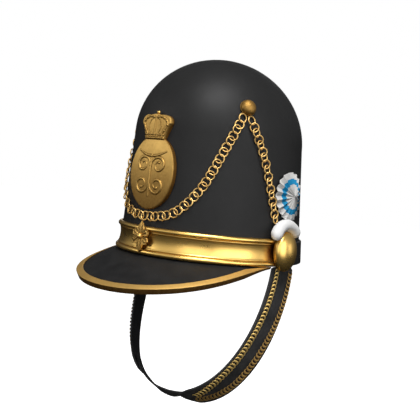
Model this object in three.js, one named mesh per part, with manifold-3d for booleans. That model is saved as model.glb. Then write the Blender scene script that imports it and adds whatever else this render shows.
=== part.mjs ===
// Parade shako helmet: a domed felt crown with a brass front band, leather visor, cast front plate,
// hung ring chains, a ribbon cockade and a chain-edged chin strap.
// Millimetres, +Z up. The front faces -Y and the wearer's left is +X.
// The origin is the middle of the head opening, level with the rim.
// Angles are degrees round the crown, from the front toward the wearer's left.

import * as THREE from "three";
import { mergeVertices } from "three/addons/utils/BufferGeometryUtils.js";
import Module from "manifold-3d";

const wasm = await Module();
wasm.setup();

// Driving dimensions
const GAP = 0.3;
const CURVED_GAP = 0.45;
const CROWN = {
  halfWidth: 88.5, halfLength: 103.5, wall: 3, shoulder: 117, height: 201, taper: 0.92, lean: 7.8,
  sides: 48, domeSteps: 7,
};
const BAND = { height: 27, bead: 2.4, sheet: 1.3, dish: 0.6, halfDish: 3, frontEnd: 85 };
const BACK_BAND = { height: 23.5, thickness: 1.8, start: 96 };
const VISOR = {
  reach: 51.2, slope: 28, thickness: 2.8, thinned: 1.1, thinRun: 14, end: 80, vanish: 82,
  fullness: 1.55, flange: 2.6, droop: 1.4, droopPower: 8,
};
const TRIM = { lip: 5, sheet: 1.2, end: 76 };
const PLATE = {
  halfWidth: 27.7, halfHeight: 35.5, middle: 78.2, front: 2.8, depth: 5.6, bevel: 0.7, sides: 36,
};
const PLATE_CROWN = {
  base: 31.5, halfBase: 11.4, halfTop: 17.6, shoulder: 15.5, height: 22.6, flare: 1, lobe: 0.55, dip: 0.3,
  peak: 1, proud: 0.9, curveSteps: 5,
};
const FINIAL = { radius: 1.9, rise: 1.33, sides: 10, steps: 6 };
const RELIEF = { wire: 0.85, sides: 6, steps: 14, windIn: 0.3 };
const FLOWER = {
  middle: 17, lift: 4.2, rootWidth: 2.4, rim: 0.9, ridge: 2.2, lowRidge: 0.35, bead: 2.6, sides: 12, steps: 5,
};
const BUTTON = {
  left: 59.7, right: 64.5, height: 147.6, radius: 8, rise: 7.5, wall: 1.5, sides: 16, steps: 4,
};
const BOSS = {
  angle: 89, height: 14.9, halfWidth: 16.4, halfHeight: 19.4, rise: 11, wall: 3, sides: 24, steps: 5,
};
const CHAIN = { halfWidth: 4.6, halfThick: 2, sides: 8, frontSteps: 36, sideSteps: 12 };
const COCKADE = { angle: 96.3, height: 69, radius: 23.8, pleats: 18, rim: 2.4, fold: 1.7, apex: 9.5 };
const ROLL = {
  frontTurn: -63, backTurn: 56, radius: 6, round: 0.72, blunt: 0.96, frontLift: 2, steps: 16, sides: 10,
};
const STRAP = {
  halfSpan: 89.9, drop: 140.4, squareness: 2.53, forward: 47, sweep: 1.48, rootY: 2.3, rootZ: -2.9,
  rake: 0.89, rootTwist: 0.21, addedTwist: 0.26, twistFrom: -2, untwist: 0.35, thickness: 2, step: 4,
  divisions: 800,
};
const CHIN = { from: 150, to: 262, width: 14, thickness: 1.6, roll: 0.28, sag: 2.2 };
// Distances between which the chin strap eases out of line with the lappets and back.
const CHIN_EASE = { leave: 180, full: 196, hold: 202, meet: 236 };
const LAPPET_ROW = {
  halfWidth: 3.2, halfThick: 1.1, start: 0.5, stop: 18, tipSpread: 2, meetRun: 42, step: 8,
};
const LAPPET_ROW_SPREAD = { front: -8.8, back: 8.8 };

// Lappet width along the strap, from the tongue under the boss to the tip.
const LAPPET_LENGTH = { left: 178, right: 150 };
const TONGUE_WIDTH = [
  { along: -14, width: 10 },
  { along: -12, width: 13 },
  { along: -2.3, width: 13 },
  { along: -1.8, width: 28.6 },
];
const TIP_WIDTH = [
  { before: 14, width: 28.6 },
  { before: 6, width: 23.4 },
  { before: 0, width: 14.6 },
];

// Hanging line of the front chain, as angles on both sides at each height, and the drop of each side chain.
const FRONT_SWAG = [
  { left: 0, right: 0, height: 36.6 },
  { left: 10, right: 10, height: 37.8 },
  { left: 19.3, right: 20, height: 42.4 },
  { left: 32.9, right: 37, height: 64.2 },
  { left: 47, right: 55.5, height: 108.2 },
  { left: 55, right: 61, height: 137.6 },
];
const SIDE_DROP = {
  left: [{ angle: 61.8, height: 136.8 }, { angle: 71.8, height: 103 }, { angle: 83.7, height: 45.5 }],
  right: [{ angle: 66.6, height: 136.8 }, { angle: 74.4, height: 103 }, { angle: 85.8, height: 36.8 }],
};

// Pleated rings of the cockade: share of the radius, of the rise from rim to apex, and of the fold.
const COCKADE_RINGS = [
  { share: 1, rise: 0, fold: 1 },
  { share: 0.55, rise: 0.45, fold: 0.8 },
  { share: 0.12, rise: 0.915, fold: 0.2 },
];

// Leaves of the band flower, turned from straight up.
const LEAVES = [
  { turn: 0, length: 14.6, halfWidth: 4.2, forked: false },
  { turn: 180, length: 15.2, halfWidth: 4.2, forked: false },
  { turn: 58, length: 11.8, halfWidth: 4, forked: true },
  { turn: -58, length: 11.8, halfWidth: 4, forked: true },
  { turn: 122, length: 11.8, halfWidth: 4, forked: true },
  { turn: -122, length: 11.8, halfWidth: 4, forked: true },
];

// Leaf outlines: how far out the widest place lies, tip width as a share, and depth of the tip's notch.
const PLAIN_LEAF = { swell: 0.9, tip: 0.05, notch: 0 };
const FORKED_LEAF = { swell: 1.6, tip: 0.45, notch: 2 };

// Raised volutes of the front plate, each with a mirrored twin: middle, first radius, start and turn.
const VOLUTES = [
  { x: 9.6, y: -12, radius: 8.6, start: 175, turn: 470 },
  { x: 9.6, y: 7, radius: 8.6, start: 185, turn: -470 },
];
const STEM = { low: -23, high: 17 };
const SWAG_LINE = { halfSpan: 17, height: 20.5, sag: 5 };

// Raised rims of the plate's crown above its base, and the line of its side arches.
const CROWN_RIMS = [0.8, 4];
const CROWN_ARCH = [
  { across: 8.55, up: 4 },
  { across: 14.96, up: 15.5 },
  { across: 7.92, up: 21.1 },
  { across: 0, up: 20.1 },
];

// Fineness of the shapes: slope probe, shortest facet step, weld distance and nearest place to a strap end.
const PROBE = 0.5;
const LEAST_FACET = 0.5;
const WELD = 1e-4;
const NEAR_END = 0.002;

// Colours and finishes
const FELT = { color: 0x232325, roughness: 0.85, metalness: 0 };
const LEATHER = { color: 0x1f1f20, roughness: 0.6, metalness: 0 };
const BRASS = { color: 0xd9a93a, roughness: 0.25, metalness: 1 };
const ANTIQUE = { color: 0xa98540, roughness: 0.42, metalness: 1 };
const CHAIN_BRASS = { color: 0xc49a4e, roughness: 0.35, metalness: 1 };
const RIBBON = { color: 0xe4e2de, roughness: 0.6, metalness: 0 };
const WHITE_CLOTH = { color: 0xf2f1ee, roughness: 0.8, metalness: 0 };

const { degToRad, lerp, clamp, smoothstep } = THREE.MathUtils;

// Width and length of the crown's outside at a height, as a share of the rim's.
function crownScale(z) {
  const up = Math.max(z, 0);
  const side = 1 - (1 - CROWN.taper) * Math.min(up / CROWN.shoulder, 1);
  const rise = Math.max(up - CROWN.shoulder, 0) / (CROWN.height - CROWN.shoulder);
  return side * Math.sqrt(1 - rise * rise);
}

// Point on the crown's outside, or beyond it by out along the oval's normal.
function crownPoint(angle, z, out = 0) {
  const turn = degToRad(angle);
  const scale = crownScale(z);
  const normal = new THREE.Vector2(Math.sin(turn) / CROWN.halfWidth, -Math.cos(turn) / CROWN.halfLength);
  normal.normalize().multiplyScalar(out);
  const lean = -CROWN.lean * Math.max(z, 0) / CROWN.height;
  const x = CROWN.halfWidth * scale * Math.sin(turn) + normal.x;
  const y = -CROWN.halfLength * scale * Math.cos(turn) + lean + normal.y;
  return new THREE.Vector3(x, y, z);
}

// Axes on the crown's outside: across toward rising angles, up the wall, and straight out.
function crownAxes(angle, z) {
  const across = crownPoint(angle + PROBE, z).sub(crownPoint(angle - PROBE, z)).normalize();
  const rising = crownPoint(angle, z + PROBE).sub(crownPoint(angle, z - PROBE)).normalize();
  const out = across.clone().cross(rising).normalize();
  const up = out.clone().cross(across);
  return { across, up, out };
}

// Moves a shape made with x across, y up and z out to its seat on the crown.
function seat(geometry, angle, z, lift) {
  const { across, up, out } = crownAxes(angle, z);
  const place = crownPoint(angle, z).addScaledVector(out, lift);
  return geometry.applyMatrix4(new THREE.Matrix4().makeBasis(across, up, out).setPosition(place));
}

// Angles from one to another that take in the crown's own facet corners on the way.
function facetAngles(from, to) {
  const step = 360 / CROWN.sides;
  const first = Math.ceil((from + LEAST_FACET) / step) * step;
  const angles = [from];
  for (let corner = first; corner < to - LEAST_FACET; corner += step) {
    angles.push(corner);
  }
  return [...angles, to];
}

// Six times the volume that a mesh encloses, negative where its faces point inward.
function enclosed(points, triangles) {
  let sum = 0;
  for (let i = 0; i < triangles.length; i += 3) {
    const [a, b, c] = triangles.slice(i, i + 3).map((corner) => points[corner]);
    sum += a.dot(b.clone().cross(c));
  }
  return sum;
}

// One closed solid through rings of equal point count, with flat ends. A ring of one point is a tip.
function loft(rings) {
  const points = rings.flat();
  const starts = [0];
  rings.forEach((ring, i) => starts.push(starts[i] + ring.length));
  const triangles = [];
  for (let i = 0; i + 1 < rings.length; i += 1) {
    const [low, high] = [rings[i], rings[i + 1]];
    const count = Math.max(low.length, high.length);
    for (let k = 0; k < count; k += 1) {
      const next = (k + 1) % count;
      const a = starts[i] + (k % low.length);
      const b = starts[i] + (next % low.length);
      const c = starts[i + 1] + (next % high.length);
      const d = starts[i + 1] + (k % high.length);
      if (low.length > 1) triangles.push(a, b, c);
      if (high.length > 1) triangles.push(a, c, d);
    }
  }
  const close = (index, flip) => {
    const ring = rings[index];
    if (ring.length === 1) return;
    const along = ring[Math.floor(ring.length / 2)].clone().sub(ring[0]).normalize();
    const normal = ringNormal(ring);
    const side = normal.clone().cross(along);
    const flat = ring.map((point) => new THREE.Vector2(point.dot(along), point.dot(side)));
    for (const [a, b, c] of THREE.ShapeUtils.triangulateShape(flat, [])) {
      const corners = [a, b, c].map((corner) => starts[index] + corner);
      triangles.push(...(flip ? corners.reverse() : corners));
    }
  };
  close(0, true);
  close(rings.length - 1, false);
  if (enclosed(points, triangles) < 0) triangles.reverse();
  const geometry = new THREE.BufferGeometry().setFromPoints(points);
  return geometry.setIndex(triangles);
}

// Normal of a flat ring, by the sum of its edge products.
function ringNormal(ring) {
  const normal = new THREE.Vector3();
  ring.forEach((point, k) => normal.add(point.clone().cross(ring[(k + 1) % ring.length])));
  return normal.normalize();
}

// Sweeps a section of out and up points round the crown.
function sweepRound(angles, sectionAt) {
  return loft(angles.map((angle) => sectionAt(angle).map(({ out, up }) => crownPoint(angle, up, out))));
}

// A rounded section about a point, with its wide way along one axis and its thin way along another.
function roundSection(middle, wide, thin, halfWide, halfThin, sides) {
  return Array.from({ length: sides }, (_, k) => {
    const turn = 2 * Math.PI * (k + 0.5) / sides;
    return middle.clone()
      .addScaledVector(wide, halfWide * Math.cos(turn))
      .addScaledVector(thin, halfThin * Math.sin(turn));
  });
}

// The solid of a closed geometry, for cuts and joins.
function toSolid(geometry) {
  const bare = new THREE.BufferGeometry();
  bare.setAttribute("position", geometry.getAttribute("position").clone());
  if (geometry.index) bare.setIndex(geometry.index.clone());
  const merged = mergeVertices(bare, WELD);
  const vertProperties = new Float32Array(merged.getAttribute("position").array);
  const triVerts = new Uint32Array(merged.index.array);
  return new wasm.Manifold(new wasm.Mesh({ numProp: 3, vertProperties, triVerts }));
}

function toGeometry(solid) {
  const { vertProperties, triVerts } = solid.getMesh();
  const geometry = new THREE.BufferGeometry();
  geometry.setAttribute("position", new THREE.BufferAttribute(vertProperties, 3));
  return geometry.setIndex(new THREE.BufferAttribute(triVerts, 1));
}

function joinAll(geometries) {
  return geometries.map(toSolid).reduce((whole, next) => whole.add(next));
}

// Turns a lathed shape's axis from +Y to +Z.
function lathe(profile, sides) {
  const points = profile.map(([radius, height]) => new THREE.Vector2(radius, height));
  return new THREE.LatheGeometry(points, sides).rotateX(Math.PI / 2);
}

// Half profile of the crown's outside grown by out, from the rim to the top, as rim shares and heights.
function crownProfile(out) {
  const grow = out / CROWN.halfWidth;
  const profile = [[1 + grow, 0]];
  for (let i = 0; i < CROWN.domeSteps; i += 1) {
    const turn = (Math.PI / 2) * (i / CROWN.domeSteps);
    const radius = (CROWN.taper + grow) * Math.cos(turn);
    profile.push([radius, CROWN.shoulder + (CROWN.height + out - CROWN.shoulder) * Math.sin(turn)]);
  }
  profile.push([0, CROWN.height + out]);
  return profile;
}

// Stretches a round crown shape to the oval and leans it forward.
function toOval(geometry) {
  const shape = new THREE.Matrix4().makeScale(CROWN.halfWidth, CROWN.halfLength, 1);
  const lean = new THREE.Matrix4().makeShear(0, 0, 0, 0, 0, -CROWN.lean / CROWN.height);
  return geometry.applyMatrix4(shape).applyMatrix4(lean);
}

function crownShell() {
  const inside = crownProfile(-CROWN.wall).reverse();
  return toOval(lathe([...inside, ...crownProfile(0)], CROWN.sides));
}

// The space that the crown and a small clearance fill, to cut seats with.
function crownSpace() {
  return toSolid(toOval(lathe([[0, 0], ...crownProfile(CURVED_GAP)], CROWN.sides)));
}

// Brass sheet with a half-round bead along both edges and a dished middle.
function frontBand() {
  const { height, bead, sheet, dish, halfDish } = BAND;
  const middleOut = CURVED_GAP + sheet;
  const arc = (up) => [90, 45, 0, -45, -90].map((turn) => ({
    out: middleOut + bead * Math.cos(degToRad(turn)),
    up: up + bead * Math.sin(degToRad(turn)),
  }));
  const section = [
    { out: CURVED_GAP, up: 0 },
    { out: CURVED_GAP, up: height },
    ...arc(height - bead),
    { out: middleOut - dish, up: height / 2 + halfDish },
    { out: middleOut - dish, up: height / 2 - halfDish },
    ...arc(bead),
  ];
  return sweepRound(facetAngles(-BAND.frontEnd, BAND.frontEnd), () => section);
}

function backBand() {
  const { height, thickness, start } = BACK_BAND;
  const edge = thickness / 2;
  const section = [
    { out: CURVED_GAP, up: 0 },
    { out: CURVED_GAP, up: height },
    { out: CURVED_GAP + edge, up: height },
    { out: CURVED_GAP + thickness, up: height - edge },
    { out: CURVED_GAP + thickness, up: edge },
    { out: CURVED_GAP + edge, up: 0 },
  ];
  return sweepRound(facetAngles(start, 360 - start), () => section);
}

// Length of the visor down its slope at an angle.
function visorRun(angle) {
  const fade = Math.cos(degToRad(90 * angle / VISOR.vanish)) ** VISOR.fullness;
  return VISOR.reach * fade / Math.cos(degToRad(VISOR.slope));
}

// Thickness of the visor at an angle, thinned toward the ends.
function visorThickness(angle) {
  return lerp(VISOR.thinned, VISOR.thickness, Math.min(visorRun(angle) / VISOR.thinRun, 1));
}

// Height of the visor's root line, which droops toward the ends to let the trim pass under the band.
function visorRoot(angle) {
  return -CURVED_GAP - VISOR.droop * (angle / VISOR.end) ** VISOR.droopPower;
}

// Point of a section from a place down the visor's slope and above its upper face.
function onVisor(angle, run, above) {
  const slope = degToRad(VISOR.slope);
  return {
    out: CURVED_GAP + run * Math.cos(slope) + above * Math.sin(slope),
    up: visorRoot(angle) - run * Math.sin(slope) + above * Math.cos(slope),
  };
}

// The peak, with a flat flange that lies under the crown's rim.
function visor() {
  const { end, flange } = VISOR;
  const angles = [-end, ...facetAngles(-TRIM.end, TRIM.end), end];
  return sweepRound(angles, (angle) => {
    const root = visorRoot(angle);
    const thickness = visorThickness(angle);
    const edge = Math.max(visorRun(angle) - TRIM.sheet - GAP, GAP);
    return [
      { out: -flange, up: root },
      { out: 0, up: root },
      onVisor(angle, edge, 0),
      onVisor(angle, edge, -thickness),
      { out: 0, up: root - thickness },
      { out: -flange, up: root - thickness },
    ];
  });
}

// Channel folded over the visor's edge.
function visorTrim() {
  const { lip, sheet } = TRIM;
  const over = GAP + sheet;
  return sweepRound(facetAngles(-TRIM.end, TRIM.end), (angle) => {
    const under = -visorThickness(angle) - GAP;
    const edge = visorRun(angle);
    const start = Math.max(edge - lip, (edge - sheet) / 2);
    return [
      onVisor(angle, start, GAP),
      onVisor(angle, start, over),
      onVisor(angle, edge, over),
      onVisor(angle, edge, under - sheet),
      onVisor(angle, start, under - sheet),
      onVisor(angle, start, under),
      onVisor(angle, edge - sheet, under),
      onVisor(angle, edge - sheet, GAP),
    ];
  });
}

// Raised wire along a line on the front plate's face.
function reliefWire(points) {
  const section = new THREE.Shape().absellipse(0, 0, RELIEF.wire, RELIEF.wire, 0, 2 * Math.PI);
  return new THREE.ExtrudeGeometry(section, {
    steps: Math.max(points.length - 1, 1),
    curveSegments: RELIEF.sides,
    bevelEnabled: false,
    extrudePath: points.length === 2
      ? new THREE.LineCurve3(...points)
      : new THREE.CatmullRomCurve3(points),
  });
}

// Points of a volute that winds in from its first radius.
function volute({ x, y, radius, start, turn }, side, face) {
  return Array.from({ length: RELIEF.steps + 1 }, (_, i) => {
    const share = i / RELIEF.steps;
    const angle = degToRad(start + turn * share);
    const reach = radius * lerp(1, RELIEF.windIn, share);
    return new THREE.Vector3(side * (x + reach * Math.cos(angle)), y + reach * Math.sin(angle), face);
  });
}

// Flat outline of the plate's crown, flaring to a lobed top.
function plateCrownOutline() {
  const { base, halfBase, halfTop, shoulder, height, flare, lobe, dip, peak } = PLATE_CROWN;
  const top = base + height;
  const waist = base + shoulder / 2;
  const outline = new THREE.Shape();
  outline.moveTo(-halfBase, base);
  outline.lineTo(halfBase, base);
  outline.quadraticCurveTo(halfBase + flare, waist, halfTop, base + shoulder);
  outline.quadraticCurveTo(halfTop, top, halfTop * lobe, top);
  outline.quadraticCurveTo(halfTop * dip, top, 0, top + peak);
  outline.quadraticCurveTo(-halfTop * dip, top, -halfTop * lobe, top);
  outline.quadraticCurveTo(-halfTop, top, -halfTop, base + shoulder);
  outline.quadraticCurveTo(-halfBase - flare, waist, -halfBase, base);
  return outline;
}

// Rims, arches and ball that stand proud on the plate's crown.
function plateCrownRelief(face) {
  const { base, halfBase, height, peak } = PLATE_CROWN;
  const rims = CROWN_RIMS.map(
    (up) => [-halfBase, halfBase].map((x) => new THREE.Vector3(x, base + up, face)));
  const arches = [-1, 1].map((side) => CROWN_ARCH.map(
    ({ across, up }) => new THREE.Vector3(side * across, base + up, face)));
  const post = [CROWN_ARCH[0], CROWN_ARCH.at(-1)].map(({ up }) => new THREE.Vector3(0, base + up, face));
  const finial = new THREE.SphereGeometry(FINIAL.radius, FINIAL.sides, FINIAL.steps);
  finial.translate(0, base + height + peak + FINIAL.rise, face - FINIAL.radius);
  return [...[...rims, ...arches, post].map(reliefWire), finial];
}

// Oval plate with its crown and scrolls, hollowed behind to sit on the felt.
function frontPlate() {
  const { halfWidth, halfHeight, middle, front, depth, bevel, sides } = PLATE;
  const slab = (shape, face, curveSteps) => new THREE.ExtrudeGeometry(shape, {
    depth: depth - bevel,
    curveSegments: curveSteps,
    bevelThickness: bevel,
    bevelSize: bevel,
    bevelOffset: -bevel,
    bevelSegments: 1,
  }).translate(0, 0, face - depth);
  const oval = new THREE.Shape().absellipse(0, 0, halfWidth, halfHeight, 0, 2 * Math.PI);
  const crownFace = front + PLATE_CROWN.proud;
  const stem = [new THREE.Vector3(0, STEM.low, front), new THREE.Vector3(0, STEM.high, front)];
  const swag = [-1, -0.5, 0, 0.5, 1].map((share) => new THREE.Vector3(
    SWAG_LINE.halfSpan * share,
    SWAG_LINE.height - SWAG_LINE.sag * (1 - share * share),
    front,
  ));
  const scrolls = VOLUTES.flatMap((row) => [1, -1].map((side) => volute(row, side, front)));
  const pieces = [
    slab(oval, front, sides),
    slab(plateCrownOutline(), crownFace, PLATE_CROWN.curveSteps),
    ...plateCrownRelief(crownFace),
    ...[stem, swag, ...scrolls].map(reliefWire),
  ].map((geometry) => seat(geometry, 0, middle, 0));
  return toGeometry(joinAll(pieces).subtract(crownSpace()));
}

// Pointed leaf with a raised middle rib, lying along +Y. A forked leaf ends in a blunt notched tip.
function leaf({ turn, length, halfWidth, forked }) {
  const { rootWidth, rim, ridge, lowRidge, steps } = FLOWER;
  const { swell, tip, notch } = forked ? FORKED_LEAF : PLAIN_LEAF;
  const rings = Array.from({ length: steps + 1 }, (_, i) => {
    const share = i / steps;
    const bulge = Math.sin(Math.PI * share ** swell);
    const half = Math.max(lerp(rootWidth / 2, tip * halfWidth, share), halfWidth * bulge);
    const y = length * share;
    const rib = i === steps ? y - notch : y;
    return [
      new THREE.Vector3(-half, y, 0),
      new THREE.Vector3(-half, y, rim),
      new THREE.Vector3(0, rib, lerp(rim, ridge, lerp(lowRidge, 1, bulge))),
      new THREE.Vector3(half, y, rim),
      new THREE.Vector3(half, y, 0),
      new THREE.Vector3(0, rib, 0),
    ];
  });
  return loft(rings).rotateZ(-degToRad(turn));
}

function bandFlower() {
  const { middle, lift, ridge, bead, sides } = FLOWER;
  const ball = new THREE.SphereGeometry(bead, sides, sides / 2).translate(0, 0, ridge);
  const back = new THREE.CylinderGeometry(bead, bead, ridge, sides).rotateX(Math.PI / 2);
  back.translate(0, 0, ridge / 2);
  const whole = toGeometry(joinAll([...LEAVES.map(leaf), ball, back]));
  return seat(whole, 0, middle, lift + GAP);
}

// Oval dome with a short upright wall.
function dome(halfWidth, halfHeight, { rise, wall, sides, steps }) {
  const profile = [[0, 0], [1, 0]];
  for (let i = 0; i < steps; i += 1) {
    const turn = (Math.PI / 2) * (i / steps);
    profile.push([Math.cos(turn), lerp(wall, rise, Math.sin(turn))]);
  }
  profile.push([0, rise]);
  return lathe(profile, sides).scale(halfWidth, halfHeight, 1);
}

function chainButton(angle) {
  return seat(dome(BUTTON.radius, BUTTON.radius, BUTTON), angle, BUTTON.height, GAP);
}

function strapBoss(side) {
  const proud = CURVED_GAP + BAND.sheet + BAND.bead + GAP;
  return seat(dome(BOSS.halfWidth, BOSS.halfHeight, BOSS), side * BOSS.angle, BOSS.height, proud);
}

// Flattened tube over the crown along a smooth line through rows of angle and height.
function chainTube(rows, steps) {
  const line = new THREE.CatmullRomCurve3(rows.map((row) => new THREE.Vector3(row.angle, row.height, 0)));
  const spots = line.getPoints(steps).map(({ x, y }) => {
    const { out } = crownAxes(x, y);
    return { out, middle: crownPoint(x, y).addScaledVector(out, CURVED_GAP + CHAIN.halfThick) };
  });
  return loft(spots.map(({ out, middle }, i) => {
    const before = spots[Math.max(i - 1, 0)].middle;
    const after = spots[Math.min(i + 1, steps)].middle;
    const along = after.clone().sub(before).normalize();
    const wide = out.clone().cross(along).normalize();
    return roundSection(middle, wide, out, CHAIN.halfWidth, CHAIN.halfThick, CHAIN.sides);
  }));
}

function chainFront() {
  const leftHalf = FRONT_SWAG.map(({ left, height }) => ({ angle: left, height }));
  const rightHalf = FRONT_SWAG.slice(1).reverse().map(({ right, height }) => ({ angle: -right, height }));
  return chainTube([...rightHalf, ...leftHalf], CHAIN.frontSteps);
}

function chainSide(side, rows) {
  return chainTube(rows.map(({ angle, height }) => ({ angle: side * angle, height })), CHAIN.sideSteps);
}

// Rosette of radial pleats, a shallow cone standing out at its middle.
function cockade() {
  const { radius, pleats, rim, fold, apex } = COCKADE;
  const count = 2 * pleats;
  const ring = (reach, height, depth) => Array.from({ length: count }, (_, k) => {
    const turn = 2 * Math.PI * k / count;
    const lift = height + (k % 2 ? depth : -depth) / 2;
    return new THREE.Vector3(reach * Math.cos(turn), reach * Math.sin(turn), lift);
  });
  const rosette = loft([
    [new THREE.Vector3(0, 0, 0)],
    ring(radius, 0, 0),
    ...COCKADE_RINGS.map((row) => ring(radius * row.share, lerp(rim, apex, row.rise), fold * row.fold)),
    [new THREE.Vector3(0, 0, apex)],
  ]);
  return seat(rosette, COCKADE.angle, COCKADE.height, GAP);
}

// Padded crescent bent round the top of the boss, thickest in the middle.
function whiteRoll() {
  const { frontTurn, backTurn, radius, round, blunt, frontLift, steps, sides } = ROLL;
  const off = radius + GAP;
  const rings = Array.from({ length: steps + 1 }, (_, i) => {
    const share = 2 * i / steps - 1;
    const turn = degToRad(lerp(frontTurn, backTurn, i / steps));
    const intoEnd = clamp((Math.abs(share) - round) / (1 - round), 0, blunt);
    const thick = radius * Math.sqrt(1 - intoEnd * intoEnd);
    const outward = new THREE.Vector3(Math.sin(turn), Math.cos(turn), 0);
    const middle = new THREE.Vector3(
      (BOSS.halfWidth + off) * Math.sin(turn),
      (BOSS.halfHeight + off) * Math.cos(turn),
      radius + frontLift * Math.min(share, 0) ** 2,
    );
    return roundSection(middle, outward, new THREE.Vector3(0, 0, 1), thick, thick, sides);
  });
  return seat(loft(rings), BOSS.angle, BOSS.height, CURVED_GAP);
}

// Middle line of the chin strap, from the left boss under the chin to the right boss.
class StrapLine extends THREE.Curve {
  getPoint(t, target = new THREE.Vector3()) {
    const turn = Math.PI * t;
    const power = 2 / STRAP.squareness;
    const share = Math.abs(Math.sin(turn)) ** power;
    const across = Math.sign(Math.cos(turn)) * Math.abs(Math.cos(turn)) ** power;
    const y = STRAP.rootY - STRAP.forward * share ** STRAP.sweep;
    return target.set(STRAP.halfSpan * across, y, STRAP.rootZ - STRAP.drop * share);
  }
}
const strapLine = new StrapLine();
strapLine.arcLengthDivisions = STRAP.divisions;
const strapLength = strapLine.getLength();

// Place on the strap at a distance from the left root: middle, across toward the back, and out.
// Before the root it runs straight up the crown's side. A roll turns its outer face forward.
function strapSpot(distance, roll = 0) {
  const share = clamp(distance / strapLength, 0, 1);
  const middle = strapLine.getPointAt(share);
  const depth = STRAP.rootZ - middle.z;
  const along = strapLine.getTangentAt(clamp(share, NEAR_END, 1 - NEAR_END));
  const rise = STRAP.forward * STRAP.sweep / STRAP.drop * (depth / STRAP.drop) ** (STRAP.sweep - 1);
  const rake = STRAP.rake * Math.atan(rise) + roll;
  const sideways = clamp(middle.x / (STRAP.untwist * STRAP.halfSpan), -1, 1);
  const twistRoot = distance > STRAP.twistFrom ? STRAP.rootTwist : 0;
  const twist = (twistRoot + STRAP.addedTwist * depth / STRAP.drop) * sideways;
  if (distance < 0) {
    const wallLean = CROWN.halfWidth * (1 - CROWN.taper) / CROWN.shoulder;
    along.set(wallLean, 0, -1).normalize();
    middle.addScaledVector(along, distance);
  }
  const across = new THREE.Vector3(
    Math.sin(twist), Math.cos(twist) * Math.cos(rake), -Math.cos(twist) * Math.sin(rake));
  across.addScaledVector(along, -across.dot(along)).normalize();
  const out = along.clone().cross(across);
  return { middle, across, out };
}

// Flat strip along the strap line, through rows of distance and width, with any roll and sag.
function strapStrip(rows, thickness, lift, side) {
  return loft(rows.map(({ along, width, roll = 0, sag = 0 }) => {
    const { middle, across, out } = strapSpot(along, roll);
    return [[-0.5, -0.5], [0.5, -0.5], [0.5, 0.5], [-0.5, 0.5]].map(([wide, thin]) => {
      const corner = middle.clone()
        .addScaledVector(across, width * wide)
        .addScaledVector(out, thickness * thin + lift + sag);
      return corner.setX(corner.x * side);
    });
  }));
}

// Two ends and the whole steps between them that keep clear of the ends.
function spaced(from, to, step) {
  const clear = step / 4;
  const places = [from];
  for (let at = Math.ceil((from + clear) / step) * step; at < to - clear; at += step) {
    places.push(at);
  }
  return [...places, to];
}

// Width of a lappet at a distance before its tip.
function tipWidth(before) {
  const inner = TIP_WIDTH.findLast((row) => row.before >= before) ?? TIP_WIDTH[0];
  const outer = TIP_WIDTH.find((row) => row.before <= before) ?? inner;
  const run = inner.before - outer.before;
  return run > 0 ? lerp(outer.width, inner.width, (before - outer.before) / run) : outer.width;
}

function lappet(side, length) {
  const rows = spaced(TONGUE_WIDTH.at(-1).along, length, STRAP.step)
    .map((along) => ({ along, width: tipWidth(Math.min(length - along, TIP_WIDTH[0].before)) }));
  return strapStrip([...TONGUE_WIDTH.slice(0, -1), ...rows], STRAP.thickness, 0, side);
}

// One flattened row on the lappet's face, drawing in to its twin near the tip.
function lappetRow(side, end, spread) {
  const { halfWidth, halfThick, start, tipSpread, meetRun, step } = LAPPET_ROW;
  const lift = STRAP.thickness / 2 + CURVED_GAP + halfThick;
  return loft(spaced(start, end, step).map((distance) => {
    const { middle, across, out } = strapSpot(distance);
    const meet = clamp((end - distance) / meetRun, 0, 1);
    const offset = lerp(Math.sign(spread) * tipSpread, spread, Math.sin(meet * Math.PI / 2));
    middle.addScaledVector(across, offset).addScaledVector(out, lift);
    const section = roundSection(middle, across, out, halfWidth, halfThick, CHAIN.sides);
    return section.map((point) => point.setX(point.x * side));
  }));
}

function lappetChain(side, length) {
  const rows = Object.values(LAPPET_ROW_SPREAD);
  return toGeometry(joinAll(rows.map((spread) => lappetRow(side, length - LAPPET_ROW.stop, spread))));
}

function chinStrap() {
  const rows = spaced(CHIN.from, CHIN.to, STRAP.step).map((along) => {
    const { leave, full, hold, meet } = CHIN_EASE;
    const ease = smoothstep(along, leave, full) - smoothstep(along, hold, meet);
    return { along, width: CHIN.width, roll: CHIN.roll * ease, sag: CHIN.sag * ease };
  });
  const inside = -(STRAP.thickness / 2 + CURVED_GAP + CHIN.thickness / 2);
  return strapStrip(rows, CHIN.thickness, inside, 1);
}

function piece(name, geometry, finish) {
  const mesh = new THREE.Mesh(geometry, new THREE.MeshStandardMaterial(finish));
  mesh.name = name;
  return mesh;
}

const helmet = new THREE.Group();
helmet.add(
  piece("crown_shell", crownShell(), FELT),
  piece("front_band", frontBand(), BRASS),
  piece("back_band", backBand(), LEATHER),
  piece("visor", visor(), LEATHER),
  piece("visor_trim", visorTrim(), BRASS),
  piece("front_plate", frontPlate(), ANTIQUE),
  piece("band_flower", bandFlower(), ANTIQUE),
  piece("chain_front", chainFront(), CHAIN_BRASS),
  piece("cockade", cockade(), RIBBON),
  piece("white_roll", whiteRoll(), WHITE_CLOTH),
  piece("chin_strap", chinStrap(), LEATHER),
);
for (const [sideName, side] of [["left", 1], ["right", -1]]) {
  const length = LAPPET_LENGTH[sideName];
  helmet.add(
    piece(`chain_button_${sideName}`, chainButton(side * BUTTON[sideName]), ANTIQUE),
    piece(`chain_side_${sideName}`, chainSide(side, SIDE_DROP[sideName]), CHAIN_BRASS),
    piece(`strap_boss_${sideName}`, strapBoss(side), BRASS),
    piece(`lappet_${sideName}`, lappet(side, length), LEATHER),
    piece(`lappet_chain_${sideName}`, lappetChain(side, length), CHAIN_BRASS),
  );
}

export default helmet;
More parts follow.
